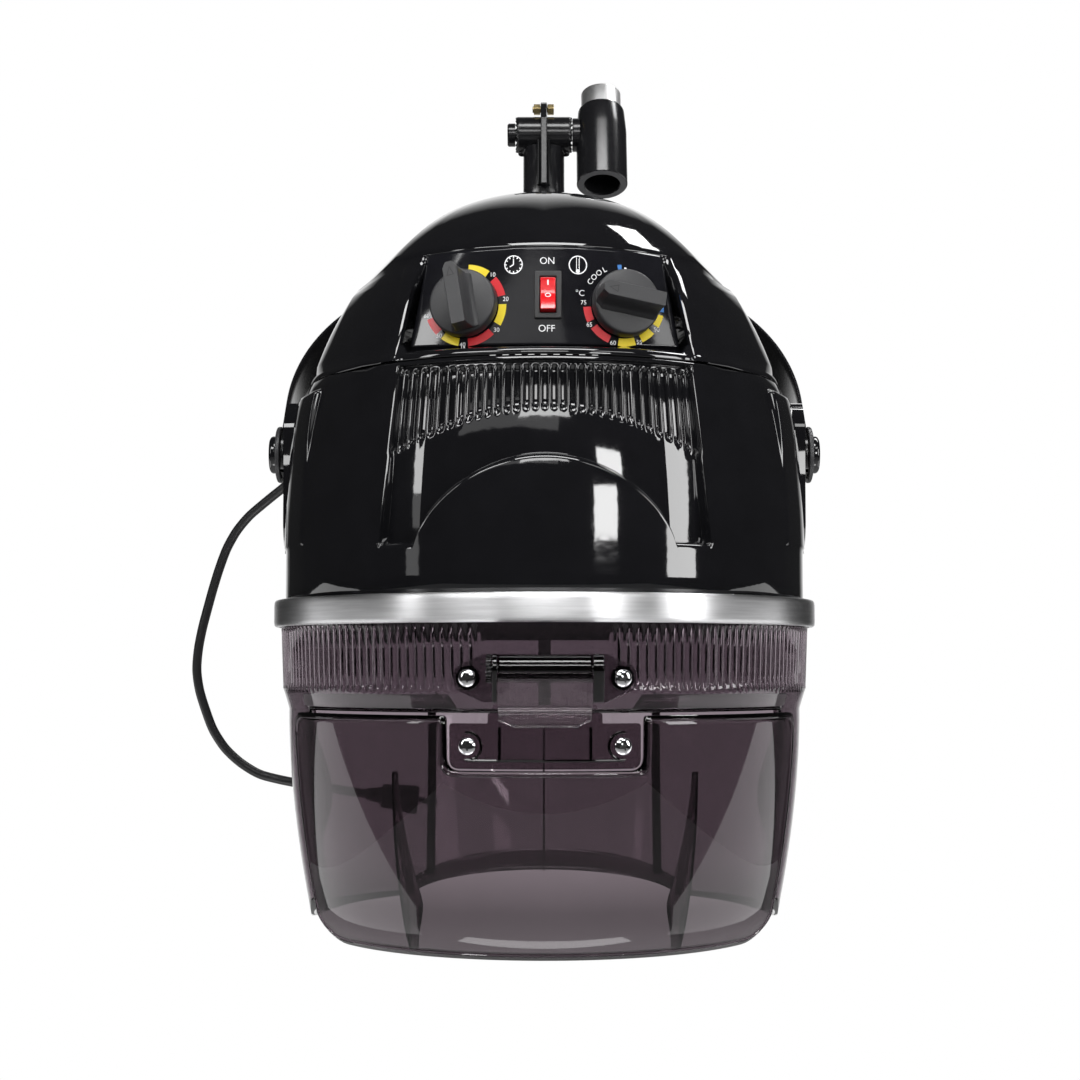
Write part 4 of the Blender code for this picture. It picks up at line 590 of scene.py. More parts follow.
def recess_depth(share, height):
    """How far the front recess lies behind the housing's surface, with its flutes."""
    inside = 1 - ease(abs(share), RECESS_EDGE, 1.0)
    if inside == 0:
        return 0.0
    land = land_height(share)
    shallow = 0.4
    slope = mix(1.0, shallow, within((height - land) / (FLUTE_TOP - land)))
    foot = flute_foot(share)
    fluted = ease(height, foot, foot + FLUTE_RUN_OUT)
    fluted *= 1 - ease(height, FLUTE_TOP - FLUTE_RUN_IN, FLUTE_TOP)
    floor = slope * land_drop(height - land) + FLUTE_DEPTH * fluted * (1 - rib((share + 1) * FLUTES / 2))
    return floor * inside * (1 - ease(height, SHELF_LOW, SHELF_HIGH))


def side_panel(turn, height):
    """How far the raised panels round the side pivots stand out of the housing."""
    off_side, soft, edge = abs(90 - abs(degrees(turn))), 0.5, 2.5
    inside = 1 - ease(off_side, PANEL_ANGLE - soft, PANEL_ANGLE + soft)
    inside *= ease(height, PAD_LOW, PAD_LOW + edge) * (1 - ease(height, PAD_HIGH - edge, PAD_HIGH))
    return inside * mix(1.1, 4.5, ease(height, 80, PAD_HIGH))


def lower_shell():
    foot_rows = [HOUSING_FOOT, HOUSING_FOOT + 1, 20, 31]
    seam_rows = [SEAM_EDGE, SEAM_HEIGHT]
    first_row = 34
    last = 8 * FLUTES
    edge = [0.9865, 0.991, 0.9955, 1.0, 1.01, 1.03, 1.1]
    fronts = [-s for s in edge[::-1]] + [RECESS_EDGE * (2 * i / last - 1) for i in range(last + 1)] + edge
    close = [PANEL_ANGLE + s for s in (-1.5, -0.5, -0.25, 0, 0.25, 0.5, 1.5)]
    flanks = [90 - s for s in close[::-1]] + [66 + 4 * i for i in range(1, 12)] + [90 + s for s in close]
    flanks += [124 + 8 * i for i in range(7)]
    flanks += [180] + [360 - s for s in flanks[::-1]]

    def heights(share):
        """The rows at a place across the front, crowded where the recess bends."""
        share = min(1.0, abs(share))
        land, foot = land_height(share), flute_foot(share)
        stops = [(first_row, 1), (RECESS_BOTTOM, 12), (land, 11), (land + LAND_EDGE, 11), (foot, 6)]
        stops += [(foot + FLUTE_RUN_OUT, 14), (FLUTE_TOP - FLUTE_RUN_IN, 8), (SHELF_LOW, 6), (SHELF_HIGH, 1)]
        run = foot_rows[:]
        for (low, count), (high, _) in zip(stops, stops[1:] + [(SEAM_EDGE, 1)]):
            run += [mix(low, high, i / count) for i in range(count)]
        return run + seam_rows

    front_heights = [heights(share) for share in fronts]
    rows = len(front_heights[0])
    flank_heights = foot_rows + [first_row] + [PAD_LOW + s for s in (-2, 0, 0.8, 1.7, 2.5)]
    bend = [PAD_HIGH + s for s in (-2.5, -1.7, -0.8, 0, 1.5)]
    spare = rows - len(flank_heights) - len(bend) - len(seam_rows)
    flank_heights += [mix(PAD_LOW + 4, PAD_HIGH - 4, i / (spare - 1)) for i in range(spare)]
    flank_heights += bend + seam_rows

    def point(row, column):
        front = column < len(fronts)
        height = front_heights[column][row] if front else flank_heights[row]
        half = dome_half(height)
        if front:
            share = (height - RECESS_BOTTOM) / (FLUTE_TOP - RECESS_BOTTOM)
            turn = front_turn(half, fronts[column] * mix(RECESS_HALF_BOTTOM, RECESS_HALF_TOP, share))
            half -= recess_depth(fronts[column], height)
        else:
            turn = radians(flanks[column - len(fronts)])
            half += side_panel(min(turn, tau - turn), height)
        if row in (0, rows - 1):
            half -= SEAM_LIP
        return plan_point(half, turn, height)

    skin = grid(rows, len(fronts) + len(flanks), point)
    wall = HOUSING_WALL
    add("housing_shell", skin, "gloss_black", "hood", "lower_housing", sharp=50, wall=wall, rim_only=True)


def upper_shell():
    window, flank, slots, pitch = 48, 34, 9, 10
    margin = [1.5, 1.2, 1.08, 1.063, 1.058, 1.05, 0.975, 0.967, 0.96]
    ribbed = [0, 0, 0, 0, 0.9, 1.3, 1.3, 0.9, 0.2]
    first, past = len(margin), len(margin) + window
    fronts = [-m for m in margin] + [NICHE_SIDE_SHARE * (2 * i / window - 1) for i in range(window + 1)]
    fronts += margin[::-1]
    ridge = ribbed + [0] * (window + 1) + ribbed[::-1]
    backs = [((slots - 1) / 2 - i) * pitch + half * pitch / 4 for i in range(slots) for half in (1, -1)]
    intake_low, intake_high = 176, 214
    top = DOME_START + DOME_HEIGHT
    proud_edge = 0.8
    levels = [(SEAM_HEIGHT + SEAT, -SEAM_LIP), (SEAM_HEIGHT + 1.1, 0), (SEAM_HEIGHT + 3.6, 0)]
    levels += [(SEAM_HEIGHT + 4.4, -0.22), (SEAM_HEIGHT + 5, -0.6)]
    inside = [mix(NICHE_BOTTOM, NICHE_TOP, i / 9) for i in range(10)]
    levels += [(height, 0) for height in sorted(inside + [intake_low, intake_high])]
    levels += [(NICHE_TOP + 0.5, 0.3), (NICHE_TOP + 1.1, proud_edge)]
    levels += [(mix(NICHE_TOP, top, 1 - (1 - i / 20) ** 1.9), proud_edge) for i in range(1, 20)]

    def in_niche(height):
        return NICHE_BOTTOM <= height <= NICHE_TOP

    def point(row, column):
        height, proud = levels[row]
        if in_niche(height) and first <= column <= past:
            return panel_point(2 * (column - first) / window - 1, height)
        half, edge = dome_half(height), niche_half_width(height)
        end = front_turn(half, fronts[-1] * edge)
        start = pi - front_turn(half, backs[0])
        place = column - len(fronts)
        if place < 0:
            turn = front_turn(half, fronts[column] * edge)
            if SEAM_HEIGHT + 1 < height <= NICHE_TOP:
                proud += ridge[column] * (1 - ease(height, NICHE_TOP - 16, NICHE_TOP - 1))
        elif place < flank:
            turn = mix(end, start, (place + 1) / (flank + 1))
        elif place < flank + len(backs):
            turn = pi - front_turn(half, backs[place - flank])
        else:
            turn = mix(tau - start, tau - end, (place - flank - len(backs) + 1) / (flank + 1))
        return plan_point(half + proud, turn, height)

    def keep(row, column):
        low, high = levels[row][0], levels[row + 1][0]
        if in_niche(low) and in_niche(high) and first <= column < past:
            return False
        back = column - len(fronts) - flank
        slotted = 0 <= back < len(backs) and back % 2 == 0
        return not (slotted and low >= intake_low and high <= intake_high)

    columns = len(fronts) + 2 * flank + len(backs)
    skin = grid(len(levels), columns, point, tip=(0, 0, top + 0.6), keep=keep)
    add("cover_shell", skin, "gloss_black", "hood", "upper_cover", sharp=50, wall=HOUSING_WALL, rim_only=True)


def panel():
    rows, columns = 44, 108
    shaft_hole, switch_half_width, switch_half_height = 7, 6.4, 12.9

    def where(row, column):
        height = mix(NICHE_BOTTOM + SEAT, NICHE_TOP - SEAT, row / (rows - 1))
        return panel_point((2 * column / (columns - 1) - 1) * 0.996, height)

    def keep(row, column):
        middle = (where(row, column) + where(row + 1, column + 1)) / 2
        if hypot(abs(middle.x) - KNOB_SPREAD, middle.z - KNOB_HEIGHT) < shaft_hole:
            return False
        beside = abs(middle.x - SWITCH_PLACE) > switch_half_width
        return beside or abs(middle.z - SWITCH_HEIGHT) > switch_half_height

    skin = grid(rows, columns, where, closed=False, keep=keep)
    add("panel_face", skin, "panel_black", "hood", "control_panel", wall=2.6)


def knob(name, side, rest):
    place = panel_frame(side * KNOB_SPREAD, KNOB_HEIGHT) @ Matrix.Rotation(radians(rest), 4, "Z")
    low, deck, hole, rim = 1.2, 10, 3.6, KNOB_RADIUS
    profile = [(hole, low), (rim - 0.5, low), (rim, low + 0.6), (rim - 0.2, deck - 1.1)]
    profile.append((rim - 0.6, deck - 0.4))
    profile += [(rim - 1.5, deck), (hole + 0.4, deck + 0.4), (hole, deck + 0.4)]
    half_width, reach = 4.7, rim - 0.5
    outline = [(-half_width, 1.4 - reach), (half_width, 1.4 - reach), (half_width, reach - 4)]
    outline += [(half_width / 2, reach - 0.3), (-half_width / 2, reach - 0.3), (-half_width, reach - 4)]
    outline = rounded(outline, 0.8, 3)
    levels = [(8, 2.0), (10.2, 1.9), (11.5, 1.55), (13, 1.32), (15.5, 1.17), (19, 1.08), (23, 1.02)]
    levels += [(GRIP_TOP - 0.6, 1), (GRIP_TOP, 0.93)]

    def flank(row, column):
        height, wide = levels[row]
        x, y = outline[column]
        return x * wide, y * min(1.0, sqrt(max(0.0, 1.06 - (x * wide / reach) ** 2))), height

    grip = grid(len(levels), len(outline), flank)
    for level in (levels[0][0], GRIP_TOP):
        grip.faces.new([v for v in grip.verts if abs(v.co.z - level) < MELT])
    base = turned(profile, 96)
    add(f"{name}_grip", moved(merged(base, grip), place), "charcoal", name, name, sharp=40)
    tip, back, half, line = reach - 3.2, reach - 9.4, 2.5, 0.45
    outer = [(0, tip), (-half, back), (half, back)]
    inner = [(0, tip - 2.6 * line), (1.7 * line - half, back + line), (half - 1.7 * line, back + line)]
    mark = grid(2, 3, lambda row, column: (*(outer, inner)[row][column], GRIP_TOP + 0.06))
    add(f"{name}_mark", moved(mark, place), "ink_black", name)


def switch_frame():
    """The frame on the panel's middle at the switch, with Z pointing out of it."""
    face = panel_at(0, SWITCH_HEIGHT).y - SEAT
    return aimed((0, -1, 0), Vector((SWITCH_PLACE, face, SWITCH_HEIGHT)))


def switch():
    outer = rounded(rectangle(8.6, 15.2), 1, 3)
    inner = rounded(rectangle(5.2, 11.4), 0.6, 3)
    levels = [(outer, -0.1, 1), (outer, 1.5, 1), (outer, 2.2, 0.96), (inner, 2.2, 1.05), (inner, 1.4, 1)]
    levels += [(inner, -9, 1), (outer, -9, 0.86)]

    def point(row, column):
        ring, level, share = levels[row]
        x, y = ring[column]
        return x * share, y * share, level

    skin = moved(grid(len(levels), len(outer), point), switch_frame())
    add("switch_frame", skin, "switch_grey", "hood", "switch_bezel", bevel=0.25)


def lens():
    stand = switch_frame() @ Matrix.Translation((0, 0, -0.3)) @ Matrix.Rotation(radians(-9), 4, "X")
    length, width, foot, steps = 10.9, 4.8, -4.8, 20

    def crest(y):
        return 2.4 + 1.8 * (abs(y) / length) ** 1.5

    outline = [(-length, 0.2), (0.6 - length, foot), (length - 0.6, foot), (length, 0.2)]
    run = [mix(length - 0.5, 0.5 - length, i / steps) for i in range(steps + 1)]
    outline += [(y, crest(y)) for y in run]
    body = moved(extruded(outline, -width, width), stand @ SIDEWAYS)
    add("rocker_lens", body, "red_lens", "rocker", "rocker", bevel=0.5, sharp=30)
    bar = moved(extruded(rectangle(0.5, 1.6), 0, 0.1), Matrix.Translation((0, 7.2, 0)))
    for vertex in bar.verts:
        vertex.co.z += crest(vertex.co.y) + 0.05
    sizes = ((1.9, 1.4), (1.3, 0.85))
    sides = 32

    def zero(row, column):
        x, y = around(1, column / sides)
        return sizes[row][0] * x, sizes[row][1] * y - 0.9, 2.62

    marks = moved(merged(bar, grid(2, sides, zero)), stand)
    add("rocker_marks", marks, "ink_white", "rocker")


def oval(section, sides=240):
    """A ring with an oval plan from a closed section of half widths and heights."""
    def point(row, column):
        half_width, height = section[row % len(section)]
        return plan_point(half_width, tau * column / sides, height)

    bm = grid(len(section) + 1, sides, point)
    bmesh.ops.remove_doubles(bm, verts=bm.verts, dist=MELT)
    return bm


def trim_ring():
    outside, half = RING_HALF_WIDTH, RING_HEIGHT / 2
    inside, top, foot, lap = outside - 3, HALF_WIDTH + 1, COLLAR_HALF_WIDTH + 1, half - 1.5
    section = [(top, half), (outside - 2, half), (outside - 0.9, half - 0.4), (outside - 0.2, half - 1.6)]
    section += [(outside, half - 4), (outside, 3 - half), (outside - 0.3, 1.2 - half)]
    section.append((outside - 1.1, 0.3 - half))
    section += [(outside - 2, -half), (foot, -half), (foot, -lap), (inside, -lap), (inside, lap), (top, lap)]
    add("ring_band", oval(section), "aluminium", "hood", "trim_ring", sharp=40)


# Print on the panel

def clocked(middle, radius, turn):
    """A place at a radius and an angle clockwise from the top."""
    return middle + Vector((sin(radians(turn)), cos(radians(turn)))) * radius


def on_panel(x, height):
    """A point just off the panel's face."""
    place = panel_frame(x, height)
    return place.translation + place.col[2].to_3d() * PRINT_LIFT


def arc_block(middle, near, far, start=0, end=360):
    """A curved block of a dial, between two radii and two angles clockwise from the top."""
    count = max(2, round(abs(end - start) / 4))
    foreshortened = 0.97

    def point(row, column):
        spot = clocked(Vector((0, 0)), (near, far)[row], mix(start, end, column / count))
        return on_panel(middle.x + spot.x * foreshortened, middle.y + spot.y)

    return grid(2, count + 1, point, closed=False)


def words(text, spot, size, turn=0.0):
    """Printed letters centred at a place on the panel."""
    curve = bpy.data.curves.new("words", "FONT")
    curve.body = text
    curve.size = size * MM
    curve.align_x = "CENTER"
    curve.align_y = "CENTER"
    holder = bpy.data.objects.new("words", curve)
    mesh = bpy.data.meshes.new_from_object(holder)
    bm = bmesh.new()
    bm.from_mesh(mesh)
    bpy.data.objects.remove(holder)
    bpy.data.curves.remove(curve)
    bpy.data.meshes.remove(mesh)
    place = panel_frame(*spot) @ Matrix.Rotation(-radians(turn), 4, "Z")
    return moved(bm, place @ Matrix.Translation((0, 0, 2 * PRINT_LIFT)) @ Matrix.Scale(1 / MM, 4))


def stroke(start, end, width):
    """A printed straight line between two places on the panel."""
    side = (end - start).normalized().orthogonal() * width / 2
    bm = bmesh.new()
    bm.faces.new([bm.verts.new(on_panel(*p)) for p in (start - side, end - side, end + side, start + side)])
    return bm


def dial(name, middle, blocks, labels, extra):
    for ink, arcs in blocks.items():
        shapes = [arc_block(middle, 21.6, 26.6, start, end) for start, end in arcs]
        add(f"{name}_{ink}", merged(*shapes), ink, "hood")
    numbers = [words(text, clocked(middle, LABEL_RING, turn), 3.9) for text, turn in labels]
    add(f"{name}_print", merged(*numbers, *extra), "ink_white", "hood")


def panel_print():
    timer, heat = Vector((-KNOB_SPREAD, KNOB_HEIGHT)), Vector((KNOB_SPREAD, KNOB_HEIGHT))
    dot = (23.4, 24.9)
    blocks = {
        "ink_yellow": [(4, 36), (90, 121), (190, 217)],
        "ink_red": [(48, 77), (136, 176), (226, 252)],
    }
    labels = [("10", 42), ("20", 83), ("30", 130), ("40", 184), ("50", 221), ("60", 257)]
    dial("timer_dial", timer, blocks, labels, [arc_block(timer, *dot, -10.5, -7)])
    blocks = {
        "ink_yellow": [(163, 189), (132, 153), (102, 121)],
        "ink_red": [(244, 266), (203, 234)],
        "ink_blue": [(64, 97), (-9, -3)],
    }
    labels = [("75", 272), ("65", 239), ("60", 196), ("55", 158), ("50", 126)]
    extra = [arc_block(heat, *dot, 1, 4.5), words("°C", heat + Vector((-27.8, 6.8)), 5.4)]
    for letter, turn in zip("COOL", (-56, -47.4, -37.8, -28.4)):
        extra.append(words(letter, clocked(heat, LABEL_RING, turn), 4.9, turn))
    dial("heat_dial", heat, blocks, labels, extra)

    clock, gauge = Vector((-19.7, 217.6)), Vector((20.9, 217.4))
    line = 0.7
    marks = [words("ON", (1.6, 219.6), 6.1), words("OFF", (1.2, 176.6), 6.1)]
    marks += [arc_block(middle, 5.3, 6) for middle in (clock, gauge)]
    for hour in range(12):
        marks.append(stroke(clocked(clock, 4.2, 30 * hour), clocked(clock, 5.2, 30 * hour), line))
    for hand in ((0, 3.8), (-2.3, -1.4)):
        marks.append(stroke(clock, clock + Vector(hand), line))
    for x in (-0.9, 0.9):
        marks.append(stroke(gauge + Vector((x, -3)), gauge + Vector((x, 5)), line / 2))
    for tick in range(6):
        start = gauge + Vector((0.2, tick - 1.6))
        marks.append(stroke(start, start + Vector((0.7, 0)), line / 3))
    marks.append(arc_block(gauge - Vector((0, 4)), 0.1, 1.3))
    add("panel_marks", merged(*marks), "ink_white", "hood")


# Visor and flap

def visor_half_width(height):
    """Half the visor's width: straight down the collar, a step in to the waist, then a taper to the rim."""
    collar_foot_half = COLLAR_HALF_WIDTH - 2
    if height >= COLLAR_FOOT:
        return mix(COLLAR_HALF_WIDTH, collar_foot_half, height / COLLAR_FOOT)
    if height >= OPENING_TOP:
        return mix(collar_foot_half, WAIST_HALF_WIDTH, (height - COLLAR_FOOT) / (OPENING_TOP - COLLAR_FOOT))
    share = (height - OPENING_TOP) / (VISOR_RIM - OPENING_TOP)
    return mix(WAIST_HALF_WIDTH, RIM_HALF_WIDTH, share**1.8)


def rim_height(turn):
    """The visor's lower edge: high beside the flap, low at the sides and arched at the neck."""
    off_front = abs(degrees(turn))
    neck = max(0.0, 1 - ((180 - off_front) / NECK_ANGLE) ** 2) ** 0.6
    from_flap = within((off_front - OPENING_ANGLE) / (FRONT_RISE_ANGLE - OPENING_ANGLE))
    return VISOR_RIM + NECK_RISE * neck + FRONT_RISE * (0.5 + 0.5 * cos(pi * from_flap))


def inside_visor(height):
    """Half the width just inside the visor's wall."""
    return visor_half_width(height) - VISOR_WALL - 0.2


def visor():
    columns, lower = 4 * COLLAR_FLUTES, 16
    flute_depth, plain_angle = 1.2, 13
    heights = [VISOR_TOP, -9, -11, -13, -25, -38, -46, -48, COLLAR_FOOT, -53, -57, -60, OPENING_TOP]
    above = len(heights)

    def point(row, column):
        turn = tau * (column + 0.5) / columns - pi
        if row >= above:
            height = mix(OPENING_TOP, rim_height(turn), (row - above + 1) / lower)
            return plan_point(visor_half_width(height), turn, height)
        height = heights[row]
        half = visor_half_width(height)
        if abs(degrees(turn)) > plain_angle:
            fluted = (1 - ease(height, -12.5, -10)) * ease(height, COLLAR_FOOT, COLLAR_FOOT + 3)
            half -= flute_depth * fluted * (1 - rib(turn / tau * COLLAR_FLUTES))
        return plan_point(half, turn, height)

    def keep(row, column):
        turn = tau * (column + 1) / columns - pi
        return row < above - 1 or abs(degrees(turn)) > OPENING_ANGLE

    skin = grid(above + lower, columns, point, keep=keep)
    add("visor_shell", skin, "smoke", "hood", "visor", sharp=40, wall=VISOR_WALL - 0.2)


def visor_trim():
    """The thickened edges inside the visor: round the opening, along the neck, and the ribs at the back."""
    bands = []
    wide, lap = radians(OPENING_ANGLE), 0.05
    low, high = OPENING_TOP + 0.4, OPENING_TOP + 10.5
    steps, rows = 30, 40
    for side in (-1, 1):

        def lintel(row, column):
            turn = side * mix(asin((0.30, 0.335)[row]), wide + lap, column / steps)
            height = (low, high)[row]
            return plan_point(inside_visor(height), turn, height)

        def jamb(row, column):
            height = mix(high, rim_height(wide) + 1, row / (rows - 1))
            along = within((LEAF_TOP - height) / (LEAF_TOP - LEAF_FOOT))
            inner = wide + 0.004 - radians(LEAF_ANGLE) * sin(pi * along**1.25)
            return plan_point(inside_visor(height), side * mix(inner, wide + lap, column / 4), height)

        bands.append(grid(2, steps + 1, lintel, closed=False))
        bands.append(grid(rows, 5, jamb, closed=False))
    trim_wall = 1.6
    add("opening_edge", merged(*bands), "smoke_dark", "hood", wall=trim_wall)
    steps = 48

    def rim(row, column):
        share = 2 * column / steps - 1
        turn = pi + radians(NECK_ANGLE) * share
        turn = turn if turn < pi else turn - tau
        height = rim_height(turn) + (0.6, mix(17, 10, share**2))[row]
        return plan_point(inside_visor(height), turn, height)

    add("rim_band", grid(2, steps + 1, rim, closed=False), "smoke", "hood", wall=trim_wall)
    ribs = []
    for x, thick in ((-86, 3.2), (0, 0.7), (86, 3.2)):
        outline = []
        for i in range(21):
            height = mix(-64, VISOR_RIM + 14, i / 20)
            half = inside_visor(height)
            outline.append((plan_point(half, pi - front_turn(half, x), height).y, height))
        outline += [(y - 4, height) for y, height in reversed(outline)]
        ribs.append(moved(extruded(outline, x - thick, x + thick), SIDEWAYS))
    add("neck_ribs", merged(*ribs), "smoke_black", "hood")
    place = aimed((0, -1, 0), Vector((-0.3, front_point(COLLAR_HALF_WIDTH - 8, 0, 0).y, -27.5)))
    add("centre_stay", moved(extruded(rectangle(3.7, 30.5), 0, 4), place), "steel_black", "hood")


def flap_half_width(height):
    """Half the flap's width at its outer face, clear of the visor behind it."""
    tuck = max(0.0, (FLAP_CREASE - height) / (FLAP_CREASE - FLAP_BOTTOM))
    return visor_half_width(max(height, FLAP_CREASE)) + 1 + FLAP_WALL - FLAP_TUCK * tuck**1.5


def on_flap(across, height, sink=0.0):
    return plan_point(flap_half_width(height) - sink, across / FLAP_ROUND, height)


def flap_outline(inset=0.0):
    half = radians(FLAP_ANGLE) * FLAP_ROUND - inset
    notch, deep = 58.2 + inset, -97.4 - inset
    top, bottom = FLAP_TOP - inset, FLAP_BOTTOM + inset
    upper = mirrored([(-half, top, 12), (-notch, top, 3), (-notch, deep, 8)])
    return softened(upper + [(half - FLAP_LEAN, bottom, 26), (FLAP_LEAN - half, bottom, 26)], 8)


def flap():
    cell = 6
    shell = sheet(flap_outline(), cell, on_flap)
    # Its smoke carries painted shade, darker towards the flap's foot
    add("flap_shell", shell, "smoke_flap", "flap", "flap", sharp=40, wall=FLAP_WALL - 0.2)
    edge = flap_outline(2.8)
    path = []
    for a, b in zip(edge, edge[1:] + edge[:1]):
        steps = max(1, round((Vector(b) - Vector(a)).length / cell))
        path += [on_flap(*mix(Vector(a), Vector(b), i / steps), -0.1) for i in range(steps)]
    path.append(path[0])
    add("flap_bead", tube(path, 0.8), "smoke", "flap")
    fins, dark = [], []
    rows = 24
    for side in (-1, 1):

        def fin(row, column):
            share = row / (rows - 1)
            height = mix(FIN_TOP, FLAP_BOTTOM + 1.2, share)
            x = mix(91.5, 81, share**2.2)
            wall = front_point(flap_half_width(height) - FLAP_WALL - SEAT, side * x, height)
            fading = mix(1, 0.2, ease(share, FIN_WIDEST, 1))
            deep = (share / FIN_WIDEST) ** 1.3 if share < FIN_WIDEST else fading
            reach = (1.2 + 17 * deep) * column / 4
            return wall + Vector((-side * FIN_SKEW * reach, reach, 0))

        fins.append(grid(rows, 5, fin, closed=False))
        dark.append(tube([fin(row, 0) for row in range(rows)], 0.9))
        half = radians(FLAP_ANGLE) * FLAP_ROUND - 1.4
        edge = []
        for i in range(25):
            height = mix(FLAP_TOP - 13, FLAP_BOTTOM + 27, i / 24)
            lean = FLAP_LEAN * (FLAP_TOP - height) / (FLAP_TOP - FLAP_BOTTOM)
            edge.append(on_flap(side * (half - lean), height, 1.2))
        dark.append(tube(edge, 1.4))
    add("flap_fins", merged(*fins), "smoke_dark", "flap", wall=2.4)
    add("flap_lines", merged(*dark), "smoke_black", "flap")


# Hinge

def pan_screw(name, place, body):
    """A bright pan-head screw, with black bars raised on its head as painted shade for its cross recess."""
    radius, height = 5.4, 3.2
    profile = [(0, -3), (2, -3), (2, 0.2), (radius, 0.2)]
    for i in range(8):
        turn = radians(10 + 10 * i)
        profile.append((radius * cos(turn), 1 + (height - 1) * sin(turn)))
    profile.append((0, height))
    add(f"{name}_head", moved(turned(profile, 40), place), "chrome", body, name, sharp=60)
    # Painted shade: black bars raised on the head stand in for the shaded cross recess, which is not cut
    recess_shade_bars = [extruded(rectangle(x, y), 2.2, height + 0.02) for x, y in ((2.7, 0.5), (0.5, 2.7))]
    cross = moved(merged(*recess_shade_bars), place @ Matrix.Rotation(radians(20), 4, "Z"))
    add(f"{name}_cross", cross, "ink_black", body)


def on_wall(half_at):
    """Places flat outlines on a curved front, given by its half width at a height."""
    return lambda x, height: front_point(half_at(height), x, height)


def bracket():
    top, low = BRACKET_HEIGHT + BRACKET_HALF, BRACKET_HEIGHT - BRACKET_HALF
    ear, ear_half, body, inside, inside_top = 54, 6.5, 37, 32, -45
    right = [(body, top, 2), (ear, BRACKET_HEIGHT + ear_half, 6), (ear, BRACKET_HEIGHT - ear_half, 6)]
    right += [(body, low, 2), (inside, low, 1), (inside, inside_top, 1)]
    face = on_wall(lambda height: COLLAR_HALF_WIDTH + HINGE_PLATE + 0.4)
    plate = sheet(softened(mirrored(right), 6), 6, face)
    add("bracket_plate", plate, "smoke", "hood", "hinge_bracket", wall=HINGE_PLATE - 0.2, bevel=0.4)
    wall_y, end = 1.2 - BRACKET_FACE, 34.5
    ends = []
    for near, far in ((-31, -28), (28, end)):
        outline = [(wall_y, low), (HINGE_LINE.y - 1, low)]
        for i in range(17):
            x, y = around(BARREL_RADIUS, mix(200, 90, i / 16) / 360)
            outline.append((HINGE_LINE.y + x, HINGE_HEIGHT + y))
        outline.append((wall_y, top - 0.2))
        ends.append(moved(extruded(outline, near, far), SIDEWAYS))
    add("bracket_ends", merged(*ends), "smoke_black", "hood", bevel=0.6)
    along = aimed((1, 0, 0), HINGE_LINE)
    sides = 4 * 24
    teeth = [around(BARREL_RADIUS - (1.1 if i % 4 in (1, 2) else 0), i / sides) for i in range(sides)]
    cap = moved(extruded(teeth, -end, -31.3), along)
    add("detent_cap", cap, "smoke_black", "hood", "detent_ring", bevel=0.2)
    pin = [(0, 0.1 - end), (2.4, 0.1 - end), (2.4, end - 0.3), (2, end), (0, end)]
    add("hinge_rod", moved(turned(pin, 24), along), "steel_black", "hood", "hinge_pin")


def hinge_leaf():
    half, barrel = MIDDLE_HALF_LENGTH, BARREL_RADIUS - 0.5
    profile = [(3, -half), (barrel - 1, -half), (barrel, 1 - half), (barrel, half - 1)]
    profile += [(barrel - 1, half), (3, half)]
    knuckle = moved(turned(profile, 56), aimed((1, 0, 0), HINGE_LINE))
    add("flap_barrel", knuckle, "smoke_black", "flap", sharp=30)
    plate_half, plate_top, plate_low, step, step_top = 57, -69, -96, 34, -62.5
    face = front_point(flap_half_width(plate_top) + 0.5, 0, 0).y - 2.6
    front = HINGE_LINE.y - 0.97 * barrel
    line = [(front, HINGE_HEIGHT), (front, -52), (front, -58), (front + 0.8, -61)]
    line += [(mix(front, face, 0.35), -65), (mix(front, face, 0.9), -70), (face - 0.4, -71.5)]
    path = smooth_route([Vector((0, y, z)) for y, z in line], 1.5)
    columns, corner = 21, 8

    def tongue(row, column):
        narrow = max(0.0, corner - (path[row] - path[-1]).length)
        return path[row] + Vector(((half - narrow) * (2 * column / (columns - 1) - 1), 0, 0))

    skin = grid(len(path), columns, tongue, closed=False)
    add("flap_tongue", skin, "smoke_clear", "flap", wall=2.6, bevel=0.5, sharp=40)
    left = [(-plate_half, plate_low, 6), (-plate_half, plate_top, 2)]
    left += [(-step, plate_top, 1), (-step, step_top, 2)]
    outer = on_wall(lambda height: flap_half_width(height) + HINGE_PLATE + 0.4)
    skin = sheet(softened(mirrored(left), 6), 6, outer)
    add("hinge_plate", skin, "smoke_dark", "flap", "flap_hinge_plate", wall=HINGE_PLATE - 0.2, bevel=0.4)
    rise = on_wall(lambda height: flap_half_width(height) + HINGE_PLATE + 0.6)
    ribs, boss, rib_radius = [], 8.2, 0.9
    for x0, z0, x1, z1 in ((-27, -71, -27, -91), (27, -71, 27, -91), (-46, -91, 46, -91)):
        ribs.append(tube([rise(mix(x0, x1, i / 12), mix(z0, z1, i / 12)) for i in range(13)], rib_radius))
    for side in (-1, 1):
        arc = [around(boss, (200 * i / 14 - 100) / 360) for i in range(15)]
        points = [rise(side * (HINGE_SCREW_PLACE - x), FLAP_SCREW_HEIGHT + y) for x, y in arc]
        ribs.append(tube(points, rib_radius))
    add("hinge_plate_ribs", merged(*ribs), "smoke_black", "flap")


def hinge():
    bracket()
    hinge_leaf()
    lift = 3.8
    flap_half = flap_half_width(FLAP_SCREW_HEIGHT)
    bosses = []
    for side, word in ((-1, "left"), (1, "right")):
        for name, half, height, body in (
            (f"bracket_screw_{word}", COLLAR_HALF_WIDTH + lift, BRACKET_HEIGHT, "hood"),
            (f"flap_screw_{word}", flap_half + lift, FLAP_SCREW_HEIGHT, "flap"),
        ):
            turn = front_turn(half, side * HINGE_SCREW_PLACE)
            place = aimed(outward(turn), plan_point(half, turn, height))
            pan_screw(name, place, body)
            if body == "hood":
                boss = [(2.2, -0.4), (7.4, -0.4), (7, 0.1), (2.2, 0.1)]
                bosses.append(moved(turned(boss, 40), place))
    add("bracket_bosses", merged(*bosses), "smoke_black", "hood")


# Yoke, post and socket

